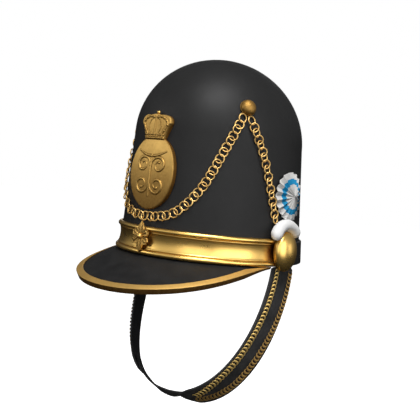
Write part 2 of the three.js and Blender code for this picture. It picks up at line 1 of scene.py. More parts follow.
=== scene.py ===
"""Looks of a parade shako helmet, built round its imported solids.

Sizes are in millimetres and angles in degrees until a mesh is made, which is in metres.
The front faces -Y, the wearer's left is +X, and +Z is up. Angles go round the crown from the
front toward the wearer's left.
"""

import logging
import math
from collections.abc import Callable, Sequence
from dataclasses import dataclass, field
from enum import Enum
from functools import cached_property

import bmesh
import bpy
import numpy as np
from mathutils import Matrix, Vector


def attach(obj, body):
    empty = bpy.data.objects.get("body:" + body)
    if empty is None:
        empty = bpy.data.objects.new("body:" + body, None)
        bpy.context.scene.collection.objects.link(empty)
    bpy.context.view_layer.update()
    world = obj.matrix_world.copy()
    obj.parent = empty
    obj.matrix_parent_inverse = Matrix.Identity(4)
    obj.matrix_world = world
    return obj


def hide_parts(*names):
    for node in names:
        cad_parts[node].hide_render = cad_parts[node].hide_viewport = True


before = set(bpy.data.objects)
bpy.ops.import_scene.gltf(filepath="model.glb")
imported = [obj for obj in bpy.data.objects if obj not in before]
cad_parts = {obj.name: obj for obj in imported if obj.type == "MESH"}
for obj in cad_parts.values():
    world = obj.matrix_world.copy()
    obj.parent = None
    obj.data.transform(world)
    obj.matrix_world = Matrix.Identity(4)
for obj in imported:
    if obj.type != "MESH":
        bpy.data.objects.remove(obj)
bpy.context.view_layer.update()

LOG = logging.getLogger("shako")
MM = 0.001
GAP = 0.3
CURVED_GAP = 0.45
TONE = "tone"
SHARP = 38.0
TIP = 0.01
SHORTEST = 1e-6
FOOT_AT = 1.15
FOOT_WIDTH = 0.45
MERGE = 1e-7
TINY = 1e-9

Colour = tuple[float, float, float, float]
Pair = tuple[float, float]
Triple = tuple[float, float, float]
Rings = list[np.ndarray]
Path = tuple[np.ndarray, np.ndarray]
Piece = bpy.types.Object
Node = bpy.types.Node
Socket = bpy.types.NodeSocket


class Side(Enum):
    """Side of the wearer's head, with its sign along X."""

    LEFT = 1
    RIGHT = -1

    @property
    def label(self) -> str:
        """Gives the side's name as node names have it."""
        return self.name.lower()


class Slot(Enum):
    """Material slots of the record."""

    FELT = "felt"
    LEATHER = "leather"
    BRASS = "brass"
    ANTIQUE = "antique_brass"
    CHAIN = "chain_brass"
    RIBBON = "ribbon"
    WHITE_CLOTH = "white_cloth"


def unit(direction: np.ndarray) -> np.ndarray:
    """Scales a direction to length one."""
    return direction / np.linalg.norm(direction)


def lerp(start: float, end: float, share: float) -> float:
    """Gives the value at a share of the way from start to end."""
    return start + (end - start) * share


def smooth_step(low: float, high: float, value: np.ndarray | float) -> np.ndarray:
    """Rises smoothly from 0 at low to 1 at high."""
    share = np.clip((value - low) / (high - low), 0, 1)
    return share * share * (3 - 2 * share)


def bell(off: np.ndarray, width: float) -> np.ndarray:
    """Falls smoothly from 1 as the distance off nears and passes the width."""
    return np.exp(-((off / width) ** 2))


def circle(count: int) -> np.ndarray:
    """Lists even turns round a whole circle."""
    return np.linspace(0, 2 * math.pi, count, endpoint=False)


def even_places(start: float, end: float, step: float) -> np.ndarray:
    """Lists even places from start to end, about a step apart."""
    return np.linspace(start, end, round((end - start) / step) + 1)


def lengths_along(line: np.ndarray) -> np.ndarray:
    """Lists the length of a line from its start to each of its places."""
    return np.concatenate([[0], np.cumsum(np.linalg.norm(np.diff(line, axis=0), axis=1))])


def arc(x: float, y: float, radius: float, start: float, end: float, count: int) -> list[Pair]:
    """Lists places along an arc about x and y, from its first angle to its last."""
    turns = np.radians(np.linspace(start, end, count))
    return [(x + radius * math.cos(turn), y + radius * math.sin(turn)) for turn in turns]


def bulge(reach: float, low: float, high: float, turn: Pair, count: int) -> list[Pair]:
    """Lists reach shares and heights along a dome's round part, between two angles."""
    turns = np.radians(np.linspace(*turn, count))
    return [(reach * math.cos(at), lerp(low, high, math.sin(at))) for at in turns]


def dome_rings(
    profile: Sequence[Pair],
    sides: int,
    top: float,
    half_width: float = 1.0,
    half_height: float = 1.0,
) -> Rings:
    """Turns a profile into the rings of an oval dome.

    Args:
        profile: Reach shares and heights from the foot to the last ring.
        sides: Number of points on each ring.
        top: Height of the tip.
        half_width: Half the dome's width.
        half_height: Half the dome's height.

    Returns:
        A tip below, the rings, and a tip above.
    """
    turns = circle(sides)
    rings = [np.array([[0.0, 0.0, profile[0][1]]])]
    for reach, up in profile:
        x, y = half_width * reach * np.cos(turns), half_height * reach * np.sin(turns)
        rings.append(np.column_stack([x, y, np.full(sides, up)]))
    rings.append(np.array([[0.0, 0.0, top]]))
    return rings


def smooth_line(rows: np.ndarray, steps: int) -> np.ndarray:
    """Runs a centripetal curve through rows of values.

    Args:
        rows: Values that the curve passes through, one row for each place.
        steps: Number of steps along the whole curve.

    Returns:
        One row for each place along the curve.
    """
    padded = np.vstack([2 * rows[0] - rows[1], rows, 2 * rows[-1] - rows[-2]])
    line = []
    for place in np.linspace(0, len(rows) - 1, steps + 1):
        start = min(int(place), len(rows) - 2)
        share = place - start
        around = padded[start : start + 4]
        before, low, high, after = around
        first, middle, last = (
            max(np.linalg.norm(b - a), SHORTEST) ** 0.5
            for a, b in zip(around[:-1], around[1:], strict=True)
        )
        slope = (high - low) / middle
        leave = (low - before) / first - (high - before) / (first + middle) + slope
        arrive = slope - (after - low) / (middle + last) + (after - high) / last
        square = share * share
        cube = square * share
        line.append(
            low * (2 * cube - 3 * square + 1)
            + leave * middle * (cube - 2 * square + share)
            + high * (3 * square - 2 * cube)
            + arrive * middle * (cube - square)
        )
    return np.array(line)


@dataclass(frozen=True)
class CrownForm:
    """Outside of the felt crown, on which every other piece is seated."""

    half_width: float = 88.5
    half_length: float = 103.5
    wall: float = 3.0
    shoulder: float = 117.0
    height: float = 201.0
    taper: float = 0.92
    lean: float = 7.8
    probe: float = 0.5

    def scale(self, z: float) -> float:
        """Gives the crown's width at a height.

        Args:
            z: Height above the rim.

        Returns:
            The width as a share of the rim's.
        """
        up = max(z, 0.0)
        side = 1 - (1 - self.taper) * min(up / self.shoulder, 1)
        rise = max(up - self.shoulder, 0) / (self.height - self.shoulder)
        return side * math.sqrt(max(1 - rise * rise, 0))

    def oval(self, angle: float, share: float, z: float, out: float = 0.0) -> np.ndarray:
        """Gives a point on a leaning oval section.

        Args:
            angle: Angle round the crown.
            share: Size of the oval as a share of the rim's.
            z: Height of the section.
            out: Distance beyond the oval along its normal.

        Returns:
            The point's place.
        """
        turn = math.radians(angle)
        across, ahead = math.sin(turn), -math.cos(turn)
        normal = unit(np.array([across / self.half_width, ahead / self.half_length])) * out
        forward = -self.lean * max(z, 0) / self.height
        x = self.half_width * share * across + normal[0]
        y = self.half_length * share * ahead + forward + normal[1]
        return np.array([x, y, z])

    def point(self, angle: float, z: float, out: float = 0.0) -> np.ndarray:
        """Gives a point on the crown's outside, or beyond it by out."""
        return self.oval(angle, self.scale(z), z, out)

    def axes(self, angle: float, z: float) -> np.ndarray:
        """Finds the directions at a place on the crown.

        Args:
            angle: Angle round the crown.
            z: Height of the place.

        Returns:
            Three rows: across toward rising angles, up the wall, and straight out.
        """
        step = self.probe
        across = unit(self.point(angle + step, z) - self.point(angle - step, z))
        rising = self.point(angle, z + step) - self.point(angle, z - step)
        out = unit(np.cross(across, rising))
        return np.array([across, np.cross(out, across), out])

    def seat(self, points: np.ndarray, angle: float, z: float, lift: float) -> np.ndarray:
        """Moves points with x across, y up and z out to a seat on the crown, lifted off it."""
        axes = self.axes(angle, z)
        return self.point(angle, z) + axes[2] * lift + np.atleast_2d(points) @ axes

    def seat_all(self, rings: Rings, angle: float, z: float, lift: float) -> Rings:
        """Moves whole rings to a seat on the crown."""
        return [self.seat(ring, angle, z, lift) for ring in rings]

    def sweep(self, angles: Sequence[float], section: Callable[[float], np.ndarray]) -> Rings:
        """Carries a section of out and up places round the crown.

        Args:
            angles: Angles of the sections.
            section: Gives the rows of out and up at an angle.

        Returns:
            One ring of points for each angle.
        """
        return [
            np.array([self.point(angle, up, out) for out, up in section(angle)]) for angle in angles
        ]


class MeshDraft:
    """Points, faces and surface values of a piece while it is being made."""

    def __init__(self) -> None:
        """Starts an empty draft."""
        self.points: Rings = []
        self.tones: Rings = []
        self.spots: Rings = []
        self.faces: list[tuple[int, ...]] = []
        self.count = 0

    def add(
        self,
        points: np.ndarray,
        faces: Sequence[Sequence[int]],
        tones: np.ndarray | None = None,
        spots: np.ndarray | None = None,
    ) -> None:
        """Adds points and the faces between them.

        Args:
            points: Places of the new points.
            faces: Faces by the new points' own numbers.
            tones: Surface value of each point, 0 where it is left out.
            spots: Flat place of each point on the cut piece, 0 where it is left out.
        """
        size = len(points)
        self.points.append(np.asarray(points, float))
        self.tones.append(np.zeros(size) if tones is None else np.asarray(tones, float))
        self.spots.append(np.zeros((size, 2)) if spots is None else np.asarray(spots, float))
        self.faces.extend(tuple(int(corner) + self.count for corner in face) for face in faces)
        self.count += size

    def loft(
        self,
        rings: Rings,
        tones: Rings | None = None,
        spots: Rings | None = None,
        caps: bool = True,
    ) -> "MeshDraft":
        """Adds a closed skin through rings of equal count, where a ring of one point is a tip.

        Args:
            rings: Rings of points in order.
            tones: Surface values of each ring's points.
            spots: Flat places of each ring's points.
            caps: Whether flat faces close the two ends.

        Returns:
            The same draft.
        """
        starts = np.concatenate([[0], np.cumsum([len(ring) for ring in rings])])
        faces: list[Sequence[int]] = []
        for i in range(len(rings) - 1):
            low, high = len(rings[i]), len(rings[i + 1])
            count = max(low, high)
            for k in range(count):
                after = (k + 1) % count
                corners = (
                    starts[i] + k % low,
                    starts[i] + after % low,
                    starts[i + 1] + after % high,
                    starts[i + 1] + k % high,
                )
                faces.append(tuple(dict.fromkeys(corners)))
        if caps:
            faces += [range(starts[i], starts[i + 1]) for i in (0, len(rings) - 1)]
        self.add(
            np.vstack(rings),
            faces,
            None if tones is None else np.concatenate(tones),
            None if spots is None else np.vstack(spots),
        )
        return self

    def to_piece(self, name: str, finish: "Finish", node: str, sharp: float = SHARP) -> Piece:
        """Makes the piece, with its place in its mesh.

        Args:
            name: Name of the piece.
            finish: Finish that the piece is dressed in.
            node: Solid that it stands for.
            sharp: Angle past which an edge stays sharp.

        Returns:
            The new piece.
        """
        mesh = bpy.data.meshes.new(name)
        mesh.from_pydata((np.vstack(self.points) * MM).tolist(), [], self.faces)
        values = mesh.attributes.new(TONE, "FLOAT", "POINT").data
        values.foreach_set("value", np.concatenate(self.tones))
        spots = np.vstack(self.spots) * MM
        corners = np.zeros(len(mesh.loops), np.int32)
        mesh.loops.foreach_get("vertex_index", corners)
        mesh.uv_layers.new(name="cut").data.foreach_set("uv", spots[corners].ravel())
        shape = bmesh.new()
        shape.from_mesh(mesh)
        bmesh.ops.remove_doubles(shape, verts=shape.verts, dist=MERGE)
        bmesh.ops.recalc_face_normals(shape, faces=shape.faces)
        shape.to_mesh(mesh)
        shape.free()
        mesh.shade_smooth()
        mesh.set_sharp_from_angle(angle=math.radians(sharp))
        return dress(name, mesh, finish, node)


def dress(name: str, mesh: bpy.types.Mesh, finish: "Finish", node: str) -> Piece:
    """Links a finished mesh as a piece that rides on the helmet in place of its solid.

    Args:
        name: Name of the piece.
        mesh: Its mesh, in the helmet's frame.
        finish: Finish that it is dressed in.
        node: Solid that it stands for.

    Returns:
        The new piece.
    """
    mesh.materials.clear()
    mesh.materials.append(finish.material())
    piece = bpy.data.objects.new(name, mesh)
    bpy.context.scene.collection.objects.link(piece)
    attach(piece, "root")
    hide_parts(node)
    return piece


class NodeSketch:
    """Short way to add nodes to a tree and to join them."""

    def __init__(self, tree: bpy.types.NodeTree) -> None:
        """Starts on a tree."""
        self.tree = tree

    def socket(self, sockets: Sequence[Socket], key: str | int) -> Socket:
        """Finds a socket.

        Args:
            sockets: Sockets to look among.
            key: Number of the socket, or its name among those in use.

        Returns:
            The socket.
        """
        if isinstance(key, int):
            return sockets[key]
        return next(socket for socket in sockets if socket.name == key and socket.enabled)

    def add(self, kind: str, inputs: dict | None = None, **settings: object) -> Node:
        """Adds a node.

        Args:
            kind: Type name of the node.
            inputs: Values, or sockets to join from, by the input's name or number.
            settings: Properties of the node.

        Returns:
            The new node.
        """
        node = self.tree.nodes.new(kind)
        for name, value in settings.items():
            setattr(node, name, value)
        for key, value in (inputs or {}).items():
            self.feed(self.socket(node.inputs, key), value)
        return node

    def out(self, kind: str, inputs: dict | None = None, **settings: object) -> Socket:
        """Adds a node and gives its first output."""
        return self.add(kind, inputs, **settings).outputs[0]

    def feed(self, target: Socket, value: object) -> None:
        """Joins a socket to a target, or sets the target's own value.

        Args:
            target: Socket that is fed.
            value: Socket to join from, or a plain value.
        """
        if isinstance(value, Socket):
            self.tree.links.new(value, target)
        else:
            target.default_value = value

    def math(self, operation: str, *values: object, clamp: bool = False) -> Socket:
        """Adds a sum of one or two values and gives its result."""
        inputs = dict(enumerate(values))
        return self.out("ShaderNodeMath", inputs, operation=operation, use_clamp=clamp)

    def times(self, first: object, second: object) -> Socket:
        """Multiplies two values."""
        return self.math("MULTIPLY", first, second)

    def plus(self, first: object, second: object, clamp: bool = False) -> Socket:
        """Adds two values, kept between 0 and 1 if clamped."""
        return self.math("ADD", first, second, clamp=clamp)

    def minus(self, first: object, second: object) -> Socket:
        """Takes the second value from the first."""
        return self.math("SUBTRACT", first, second)

    def mix(self, factor: object, first: object, second: object) -> Socket:
        """Mixes two colours and gives the result."""
        inputs = {0: factor, 6: first, 7: second}
        return self.add("ShaderNodeMix", inputs, data_type="RGBA").outputs[2]

    def span(self, value: object, reach: Pair, low: float = 0.0, high: float = 1.0) -> Socket:
        """Maps a value from low and high to the two ends of a reach, and keeps it between them."""
        inputs = dict(enumerate((value, low, high, *reach)))
        return self.out("ShaderNodeMapRange", inputs)

    def mask(self, value: object, low: float, high: float) -> Socket:
        """Maps a value from low and high to 0 and 1."""
        return self.span(value, (0.0, 1.0), low, high)

    @property
    def shader(self) -> Sequence[Socket]:
        """Gives the inputs of a material's shader."""
        return self.tree.nodes["Principled BSDF"].inputs

    def places(self, kind: str = "Object") -> Socket:
        """Reads the surface's own places of a kind."""
        return self.add("ShaderNodeTexCoord").outputs[kind]

    def tone(self) -> Socket:
        """Reads the surface value that a piece's points carry."""
        return self.add("ShaderNodeAttribute", attribute_name=TONE).outputs["Fac"]


@dataclass(frozen=True)
class EffectGroup:
    """A surface effect that several materials share, as a shader node group."""

    name: str
    size_input: str
    size: float
    outputs: tuple[str, ...]
    draw: Callable[[NodeSketch, Sequence[Socket], Sequence[Socket]], None]

    def tree(self) -> bpy.types.NodeTree:
        """Gives the group's tree, made on its first use.

        Returns:
            The tree, with a place and a size as inputs.
        """
        found = bpy.data.node_groups.get(self.name)
        if found:
            return found
        tree = bpy.data.node_groups.new(self.name, "ShaderNodeTree")
        tree.interface.new_socket(name="Vector", in_out="INPUT", socket_type="NodeSocketVector")
        kind = "NodeSocketFloat"
        size = tree.interface.new_socket(name=self.size_input, in_out="INPUT", socket_type=kind)
        size.default_value = self.size
        for name in self.outputs:
            tree.interface.new_socket(name=name, in_out="OUTPUT", socket_type=kind)
        sketch = NodeSketch(tree)
        given, result = sketch.add("NodeGroupInput"), sketch.add("NodeGroupOutput")
        self.draw(sketch, given.outputs, result.inputs)
        return tree

    def put(self, sketch: NodeSketch, place: Socket, size: float) -> Sequence[Socket]:
        """Places the group in a material at a size, and gives its outputs."""
        inputs = {"Vector": place, self.size_input: size}
        return sketch.add("ShaderNodeGroup", inputs, node_tree=self.tree()).outputs


def draw_mottle(sketch: NodeSketch, given: Sequence[Socket], result: Sequence[Socket]) -> None:
    """Draws soft blotches that run from 0 to 1.

    Args:
        sketch: The group's tree.
        given: The group's inputs.
        result: The group's outputs.
    """
    inputs = {"Vector": given["Vector"], "Scale": given["Scale"], "Detail": 5.0, "Roughness": 0.6}
    noise = sketch.out("ShaderNodeTexNoise", inputs)
    sketch.feed(result["Value"], sketch.mask(noise, 0.32, 0.68))


def draw_grain(sketch: NodeSketch, given: Sequence[Socket], result: Sequence[Socket]) -> None:
    """Draws the pebbles and creases of a hide.

    Args:
        sketch: The group's tree.
        given: The group's inputs.
        result: The group's outputs.
    """
    vector, scale = given["Vector"], given["Scale"]
    bend = sketch.add("ShaderNodeTexNoise", {"Vector": vector, "Scale": scale, "Detail": 2.0})
    inputs = {0: bend.outputs[1], "Scale": 0.0009}
    pull = sketch.out("ShaderNodeVectorMath", inputs, operation="SCALE")
    moved = sketch.out("ShaderNodeVectorMath", {0: vector, 1: pull}, operation="ADD")
    inputs = {"Vector": moved, "Scale": scale}
    cells = sketch.out("ShaderNodeTexVoronoi", inputs, feature="DISTANCE_TO_EDGE")
    pebble = sketch.mask(cells, 0.0, 0.28)
    sketch.feed(result["Height"], pebble)
    sketch.feed(result["Crease"], sketch.minus(1.0, pebble))


def draw_weave(sketch: NodeSketch, given: Sequence[Socket], result: Sequence[Socket]) -> None:
    """Draws threads that pass over and under each other along a flat cut.

    Args:
        sketch: The group's tree.
        given: The group's inputs.
        result: The group's outputs.
    """
    flat = sketch.add("ShaderNodeSeparateXYZ", {0: given["Vector"]})
    runs = [sketch.times(flat.outputs[k], given["Threads"]) for k in (0, 1)]
    over = sketch.math("PINGPONG", sketch.plus(*[sketch.math("FLOOR", run) for run in runs]), 1.0)
    threads = []
    for run, heights in zip(runs, ((0.55, 1.0), (1.0, 0.55)), strict=True):
        wave = sketch.math("ABSOLUTE", sketch.math("SINE", sketch.times(run, math.pi)))
        threads.append(sketch.times(wave, sketch.span(over, heights)))
    sketch.feed(result["Height"], sketch.math("MAXIMUM", *threads))


def draw_scratches(sketch: NodeSketch, given: Sequence[Socket], result: Sequence[Socket]) -> None:
    """Draws the fine marks that a polishing cloth leaves.

    Args:
        sketch: The group's tree.
        given: The group's inputs.
        result: The group's outputs.
    """
    inputs = {"Vector": given["Vector"], "Scale": (0.12, 0.12, 1.0)}
    stretch = sketch.out("ShaderNodeMapping", inputs)
    inputs = {"Vector": stretch, "Scale": given["Scale"], "Detail": 8.0, "Roughness": 0.75}
    noise = sketch.out("ShaderNodeTexNoise", inputs)
    sketch.feed(result["Value"], sketch.mask(noise, 0.42, 0.6))


MOTTLE = EffectGroup("soft_mottle", "Scale", 100.0, ("Value",), draw_mottle)
GRAIN = EffectGroup("hide_grain", "Scale", 100.0, ("Height", "Crease"), draw_grain)
SCRATCHES = EffectGroup("polish_marks", "Scale", 100.0, ("Value",), draw_scratches)
WEAVE = EffectGroup("plain_weave", "Threads", 2000.0, ("Height",), draw_weave)


@dataclass(frozen=True, kw_only=True)
class Finish:
    """A finish that pieces are dressed in, with the depth and strength of its relief."""

    name: str
    slot: Slot
    relief: float
    strength: float

    def material(self) -> bpy.types.Material:
        """Gives the finish's material, made on its first use.

        Returns:
            The material.
        """
        found = bpy.data.materials.get(self.name)
        if found:
            return found
        material = bpy.data.materials.new(self.name)
        material.use_nodes = True
        self.paint(NodeSketch(material.node_tree))
        return material

    def paint(self, sketch: NodeSketch) -> None:
        """Draws the finish into its tree."""
        raise NotImplementedError

    def cover(self, sketch: NodeSketch, colour: Socket, rough: Socket, height: Socket) -> None:
        """Feeds what changes over the surface to the shader.

        Args:
            sketch: The material's tree.
            colour: Colour of the surface.
            rough: Its roughness.
            height: Height of its relief, from 0 to 1.
        """
        sketch.feed(sketch.shader["Base Color"], colour)
        sketch.feed(sketch.shader["Roughness"], rough)
        inputs = {"Height": height, "Distance": self.relief * MM, "Strength": self.strength}
        sketch.feed(sketch.shader["Normal"], sketch.out("ShaderNodeBump", inputs))


@dataclass(frozen=True, kw_only=True)
class FeltFinish(Finish):
    """Stiffened black wool felt with a short, slightly dusty nap."""

    dark: Colour = (0.0115, 0.0115, 0.0117, 1.0)
    light: Colour = (0.019, 0.019, 0.0192, 1.0)
    nap_scale: float = 1900.0
    nap_share: float = 0.55
    blotch_scale: float = 24.0
    roughness: Pair = (0.45, 0.54)
    gloss: float = 0.18
    relief: float = 0.12
    strength: float = 0.35

    def paint(self, sketch: NodeSketch) -> None:
        """Draws short fibres over broad soft blotches.

        Args:
            sketch: The material's tree.
        """
        places = sketch.places()
        blotch = MOTTLE.put(sketch, places, self.blotch_scale)[0]
        nap = MOTTLE.put(sketch, places, self.nap_scale)[0]
        shade = sketch.plus(
            sketch.times(blotch, 1 - self.nap_share), sketch.times(nap, self.nap_share)
        )
        sketch.shader["Specular IOR Level"].default_value = self.gloss
        colour = sketch.mix(shade, self.dark, self.light)
        self.cover(sketch, colour, sketch.span(nap, self.roughness), nap)


@dataclass(frozen=True, kw_only=True)
class LeatherFinish(Finish):
    """Black leather with a fine grain and greyer worn edges."""

    dark: Colour = (0.0085, 0.0085, 0.009, 1.0)
    light: Colour = (0.0155, 0.0155, 0.016, 1.0)
    worn: Colour = (0.3, 0.293, 0.285, 1.0)
    wear: Pair = (0.35, 1.0)
    grain_scale: float = 950.0
    blotch_scale: float = 70.0
    roughness: Pair = (0.5, 0.66)
    blotch_rough: float = 0.08
    gloss: float = 0.16
    relief: float = 0.1
    strength: float = 0.4

    def paint(self, sketch: NodeSketch) -> None:
        """Draws grain, creases and the worn edges that the tone marks.

        Args:
            sketch: The material's tree.
        """
        places = sketch.places()
        grain = GRAIN.put(sketch, places, self.grain_scale)
        blotch = MOTTLE.put(sketch, places, self.blotch_scale)[0]
        body = sketch.mix(blotch, self.dark, self.light)
        rubbed = sketch.times(sketch.tone(), sketch.span(blotch, self.wear))
        rough = sketch.plus(
            sketch.span(grain["Crease"], self.roughness), sketch.times(blotch, self.blotch_rough)
        )
        sketch.shader["Specular IOR Level"].default_value = self.gloss
        self.cover(sketch, sketch.mix(rubbed, body, self.worn), rough, grain["Height"])


@dataclass(frozen=True, kw_only=True)
class MetalFinish(Finish):
    """Brass, bright where it is rubbed, brown where the polish never reaches, and darker where the
    tone paints shade.
    """

    bright: Colour
    patina: Colour
    roughness: Pair
    patina_spread: float
    metal: float = 1.0
    broad_scale: float = 48.0
    fine_scale: float = 420.0
    marks_scale: float = 900.0
    marks_share: float = 0.25
    patina_rough: float = 0.16
    fine_relief: float = 0.12
    strength: float = 0.25

    def paint(self, sketch: NodeSketch) -> None:
        """Draws polish marks, blotches, and the patina and painted shade that the tone marks.

        Args:
            sketch: The material's tree.
        """
        places = sketch.places()
        broad = MOTTLE.put(sketch, places, self.broad_scale)[0]
        fine = MOTTLE.put(sketch, places, self.fine_scale)[0]
        marks = SCRATCHES.put(sketch, places, self.marks_scale)[0]
        stain = sketch.times(sketch.times(broad, fine), self.patina_spread)
        # The tone carries patina, and on some pieces painted shade as well.
        dull = sketch.plus(sketch.tone(), stain, clamp=True)
        polish = sketch.plus(
            sketch.times(marks, self.marks_share), sketch.times(broad, 1 - self.marks_share)
        )
        rough = sketch.plus(
            sketch.span(polish, self.roughness), sketch.times(dull, self.patina_rough)
        )
        sketch.shader["Metallic"].default_value = self.metal
        height = sketch.plus(broad, sketch.times(fine, self.fine_relief))
        self.cover(sketch, sketch.mix(dull, self.bright, self.patina), rough, height)


@dataclass(frozen=True, kw_only=True)
class RibbonFinish(Finish):
    """Pleated white ribbon with a blue stripe, placed by the tone from middle to rim."""

    white: Colour = (0.68, 0.671, 0.652, 1.0)
    grey: Colour = (0.4, 0.396, 0.388, 1.0)
    blue: Colour = (0.003, 0.235, 0.465, 1.0)
    stripe: Pair = (0.52, 0.75)
    stripe_soft: float = 0.008
    stripe_drift: float = 0.006
    threads: float = 2600.0
    thread_gap_painted_shade: float = 0.3
    blotch_scale: float = 260.0
    blotch_shade: float = 0.35
    roughness: Pair = (0.7, 0.5)
    sheen: float = 0.04
    gloss: float = 0.2
    relief: float = 0.08
    strength: float = 0.4

    def paint(self, sketch: NodeSketch) -> None:
        """Draws the weave, with painted shade between the threads, and the stripe, whose edges
        follow the threads.

        Args:
            sketch: The material's tree.
        """
        weave = WEAVE.put(sketch, sketch.places("UV"), self.threads)[0]
        blotch = MOTTLE.put(sketch, sketch.places(), self.blotch_scale)[0]
        drift = sketch.span(blotch, (-self.stripe_drift, self.stripe_drift))
        reach = sketch.plus(sketch.tone(), drift)
        edges = [(at - self.stripe_soft, at + self.stripe_soft) for at in self.stripe]
        inside = sketch.mask(reach, *edges[0])
        outside = sketch.span(reach, (1.0, 0.0), *edges[1])
        cloth = sketch.mix(sketch.times(blotch, self.blotch_shade), self.white, self.grey)
        # Painted shade: greyer where the weave lies low between the threads.
        shaded = sketch.mix(sketch.span(weave, (self.thread_gap_painted_shade, 0.0)), cloth, self.grey)
        sketch.shader["Sheen Weight"].default_value = self.sheen
        sketch.shader["Specular IOR Level"].default_value = self.gloss
        dyed = sketch.mix(sketch.times(inside, outside), shaded, self.blue)
        self.cover(sketch, dyed, sketch.span(weave, self.roughness), weave)


@dataclass(frozen=True, kw_only=True)
class ClothFinish(Finish):
    """Close white cloth over padding."""

    white: Colour = (0.86, 0.86, 0.85, 1.0)
    grey: Colour = (0.62, 0.62, 0.62, 1.0)
    threads: float = 2300.0
    thread_gap_painted_shade: float = 0.22
    blotch_scale: float = 150.0
    blotch_soil: float = 0.16
    seam_soil: float = 0.6
    roughness: Pair = (0.85, 0.65)
    sheen: float = 0.2
    relief: float = 0.07
    strength: float = 0.35

    def paint(self, sketch: NodeSketch) -> None:
        """Draws the weave, with painted shade between the threads, and a little soiling in the
        seam.

        Args:
            sketch: The material's tree.
        """
        weave = WEAVE.put(sketch, sketch.places("UV"), self.threads)[0]
        blotch = MOTTLE.put(sketch, sketch.places(), self.blotch_scale)[0]
        soil = sketch.plus(
            sketch.times(blotch, self.blotch_soil),
            sketch.times(sketch.tone(), self.seam_soil),
            clamp=True,
        )
        cloth = sketch.mix(soil, self.white, self.grey)
        # Painted shade: greyer where the weave lies low between the threads.
        colour = sketch.mix(sketch.span(weave, (self.thread_gap_painted_shade, 0.0)), cloth, self.grey)
        sketch.shader["Sheen Weight"].default_value = self.sheen
        self.cover(sketch, colour, sketch.span(weave, self.roughness), weave)


FELT = FeltFinish(name="black_felt", slot=Slot.FELT)
LEATHER = LeatherFinish(name="black_leather", slot=Slot.LEATHER)
BRASS = MetalFinish(
    name="polished_brass",
    slot=Slot.BRASS,
    bright=(0.88, 0.565, 0.16, 1.0),
    patina=(0.2, 0.09, 0.016, 1.0),
    roughness=(0.24, 0.36),
    patina_spread=0.07,
    relief=0.05,
)
ANTIQUE = MetalFinish(
    name="cast_brass",
    slot=Slot.ANTIQUE,
    bright=(0.64, 0.405, 0.12, 1.0),
    patina=(0.17, 0.08, 0.016, 1.0),
    roughness=(0.38, 0.5),
    patina_spread=0.3,
    relief=0.15,
)
CHAIN_BRASS = MetalFinish(
    name="chain_brass_wire",
    slot=Slot.CHAIN,
    bright=(0.8, 0.53, 0.19, 1.0),
    patina=(0.4, 0.22, 0.06, 1.0),
    roughness=(0.34, 0.46),
    patina_spread=0.3,
    relief=0.05,
    metal=0.85,
)
# Painted light: a brighter copy of the chain brass for the sewn rows, which face away from the key
# light.
LIT_SEWN_BRASS = MetalFinish(
    name="sewn_brass_painted_light",
    slot=Slot.CHAIN,
    bright=(0.97, 0.68, 0.22, 1.0),
    patina=(0.28, 0.155, 0.042, 1.0),
    roughness=(0.36, 0.48),
    patina_spread=0.1,
    relief=0.05,
    metal=0.7,
)
TRIM_BRASS = MetalFinish(
    name="worn_trim_brass",
    slot=Slot.BRASS,
    bright=(0.74, 0.465, 0.138, 1.0),
    patina=(0.12, 0.056, 0.012, 1.0),
    roughness=(0.46, 0.58),
    patina_spread=0.25,
    relief=0.12,
    metal=0.85,
)
RIBBON = RibbonFinish(name="cockade_ribbon", slot=Slot.RIBBON)
WHITE_CLOTH = ClothFinish(name="padded_cloth", slot=Slot.WHITE_CLOTH)


@dataclass
class FeltCrown:
    """The blocked felt body: an oval wall that closes in a dome.

    Each wave has its count round the crown, its size, its start and its turn with height.
    """

    form: CrownForm
    sides: int = 144
    wall_steps: int = 22
    dome_steps: int = 26
    lip: float = 0.9
    uneven: float = 0.22
    even_below: float = 40.0
    waves: tuple[tuple[int, float, float, float], ...] = (
        (2, 1.0, 0.0, 0.03),
        (5, 0.6, 1.7, -0.021),
    )

    def profile(self, inset: float) -> list[Pair]:
        """Lists the wall's section from the lip to just under the top.

        Args:
            inset: Distance inside the outer face.

        Returns:
            Rim share and height of each place.
        """
        form = self.form
        shrink = inset / form.half_width
        rows = []
        for i in range(self.wall_steps):
            share = i / self.wall_steps
            rows.append((lerp(1, form.taper, share) - shrink, max(form.shoulder * share, self.lip)))
        for i in range(self.dome_steps):
            turn = math.pi / 2 * i / self.dome_steps
            rise = (form.height - inset - form.shoulder) * math.sin(turn)
            rows.append(((form.taper - shrink) * math.cos(turn), form.shoulder + rise))
        return rows

    def ring(self, share: float, z: float, swell: float) -> np.ndarray:
        """Lays an oval ring with the slight waves of hand-blocked felt.

        Args:
            share: Size of the ring as a share of the rim's.
            z: Height of the ring.
            swell: Size of the waves.

        Returns:
            The ring's points.
        """
        angles = np.arange(self.sides) * 360 / self.sides
        waves = sum(
            size * np.sin(np.radians(count * angles) + start + climb * z)
            for count, size, start, climb in self.waves
        )
        outs = swell * float(smooth_step(0, self.even_below, z)) * waves
        return np.array(
            [self.form.oval(angle, share, z, out) for angle, out in zip(angles, outs, strict=True)]
        )

    def build(self) -> list[Piece]:
        """Builds the crown with its inside, outside and turned lip.

        Returns:
            The crown.
        """
        form = self.form
        edge = self.lip / form.half_width
        lip = [(1 - (form.wall / form.half_width) + edge, 0.0), (1 - edge, 0.0)]
        rows = [(*row, 0.0) for row in [*reversed(self.profile(form.wall)), *lip]]
        rows += [(*row, self.uneven) for row in self.profile(0)]
        under, top = (np.array([form.oval(0, 0, form.height - in_by)]) for in_by in (form.wall, 0))
        rings = [under, *[self.ring(*row) for row in rows], top]
        return [MeshDraft().loft(rings, caps=False).to_piece("felt_crown", FELT, "crown_shell")]


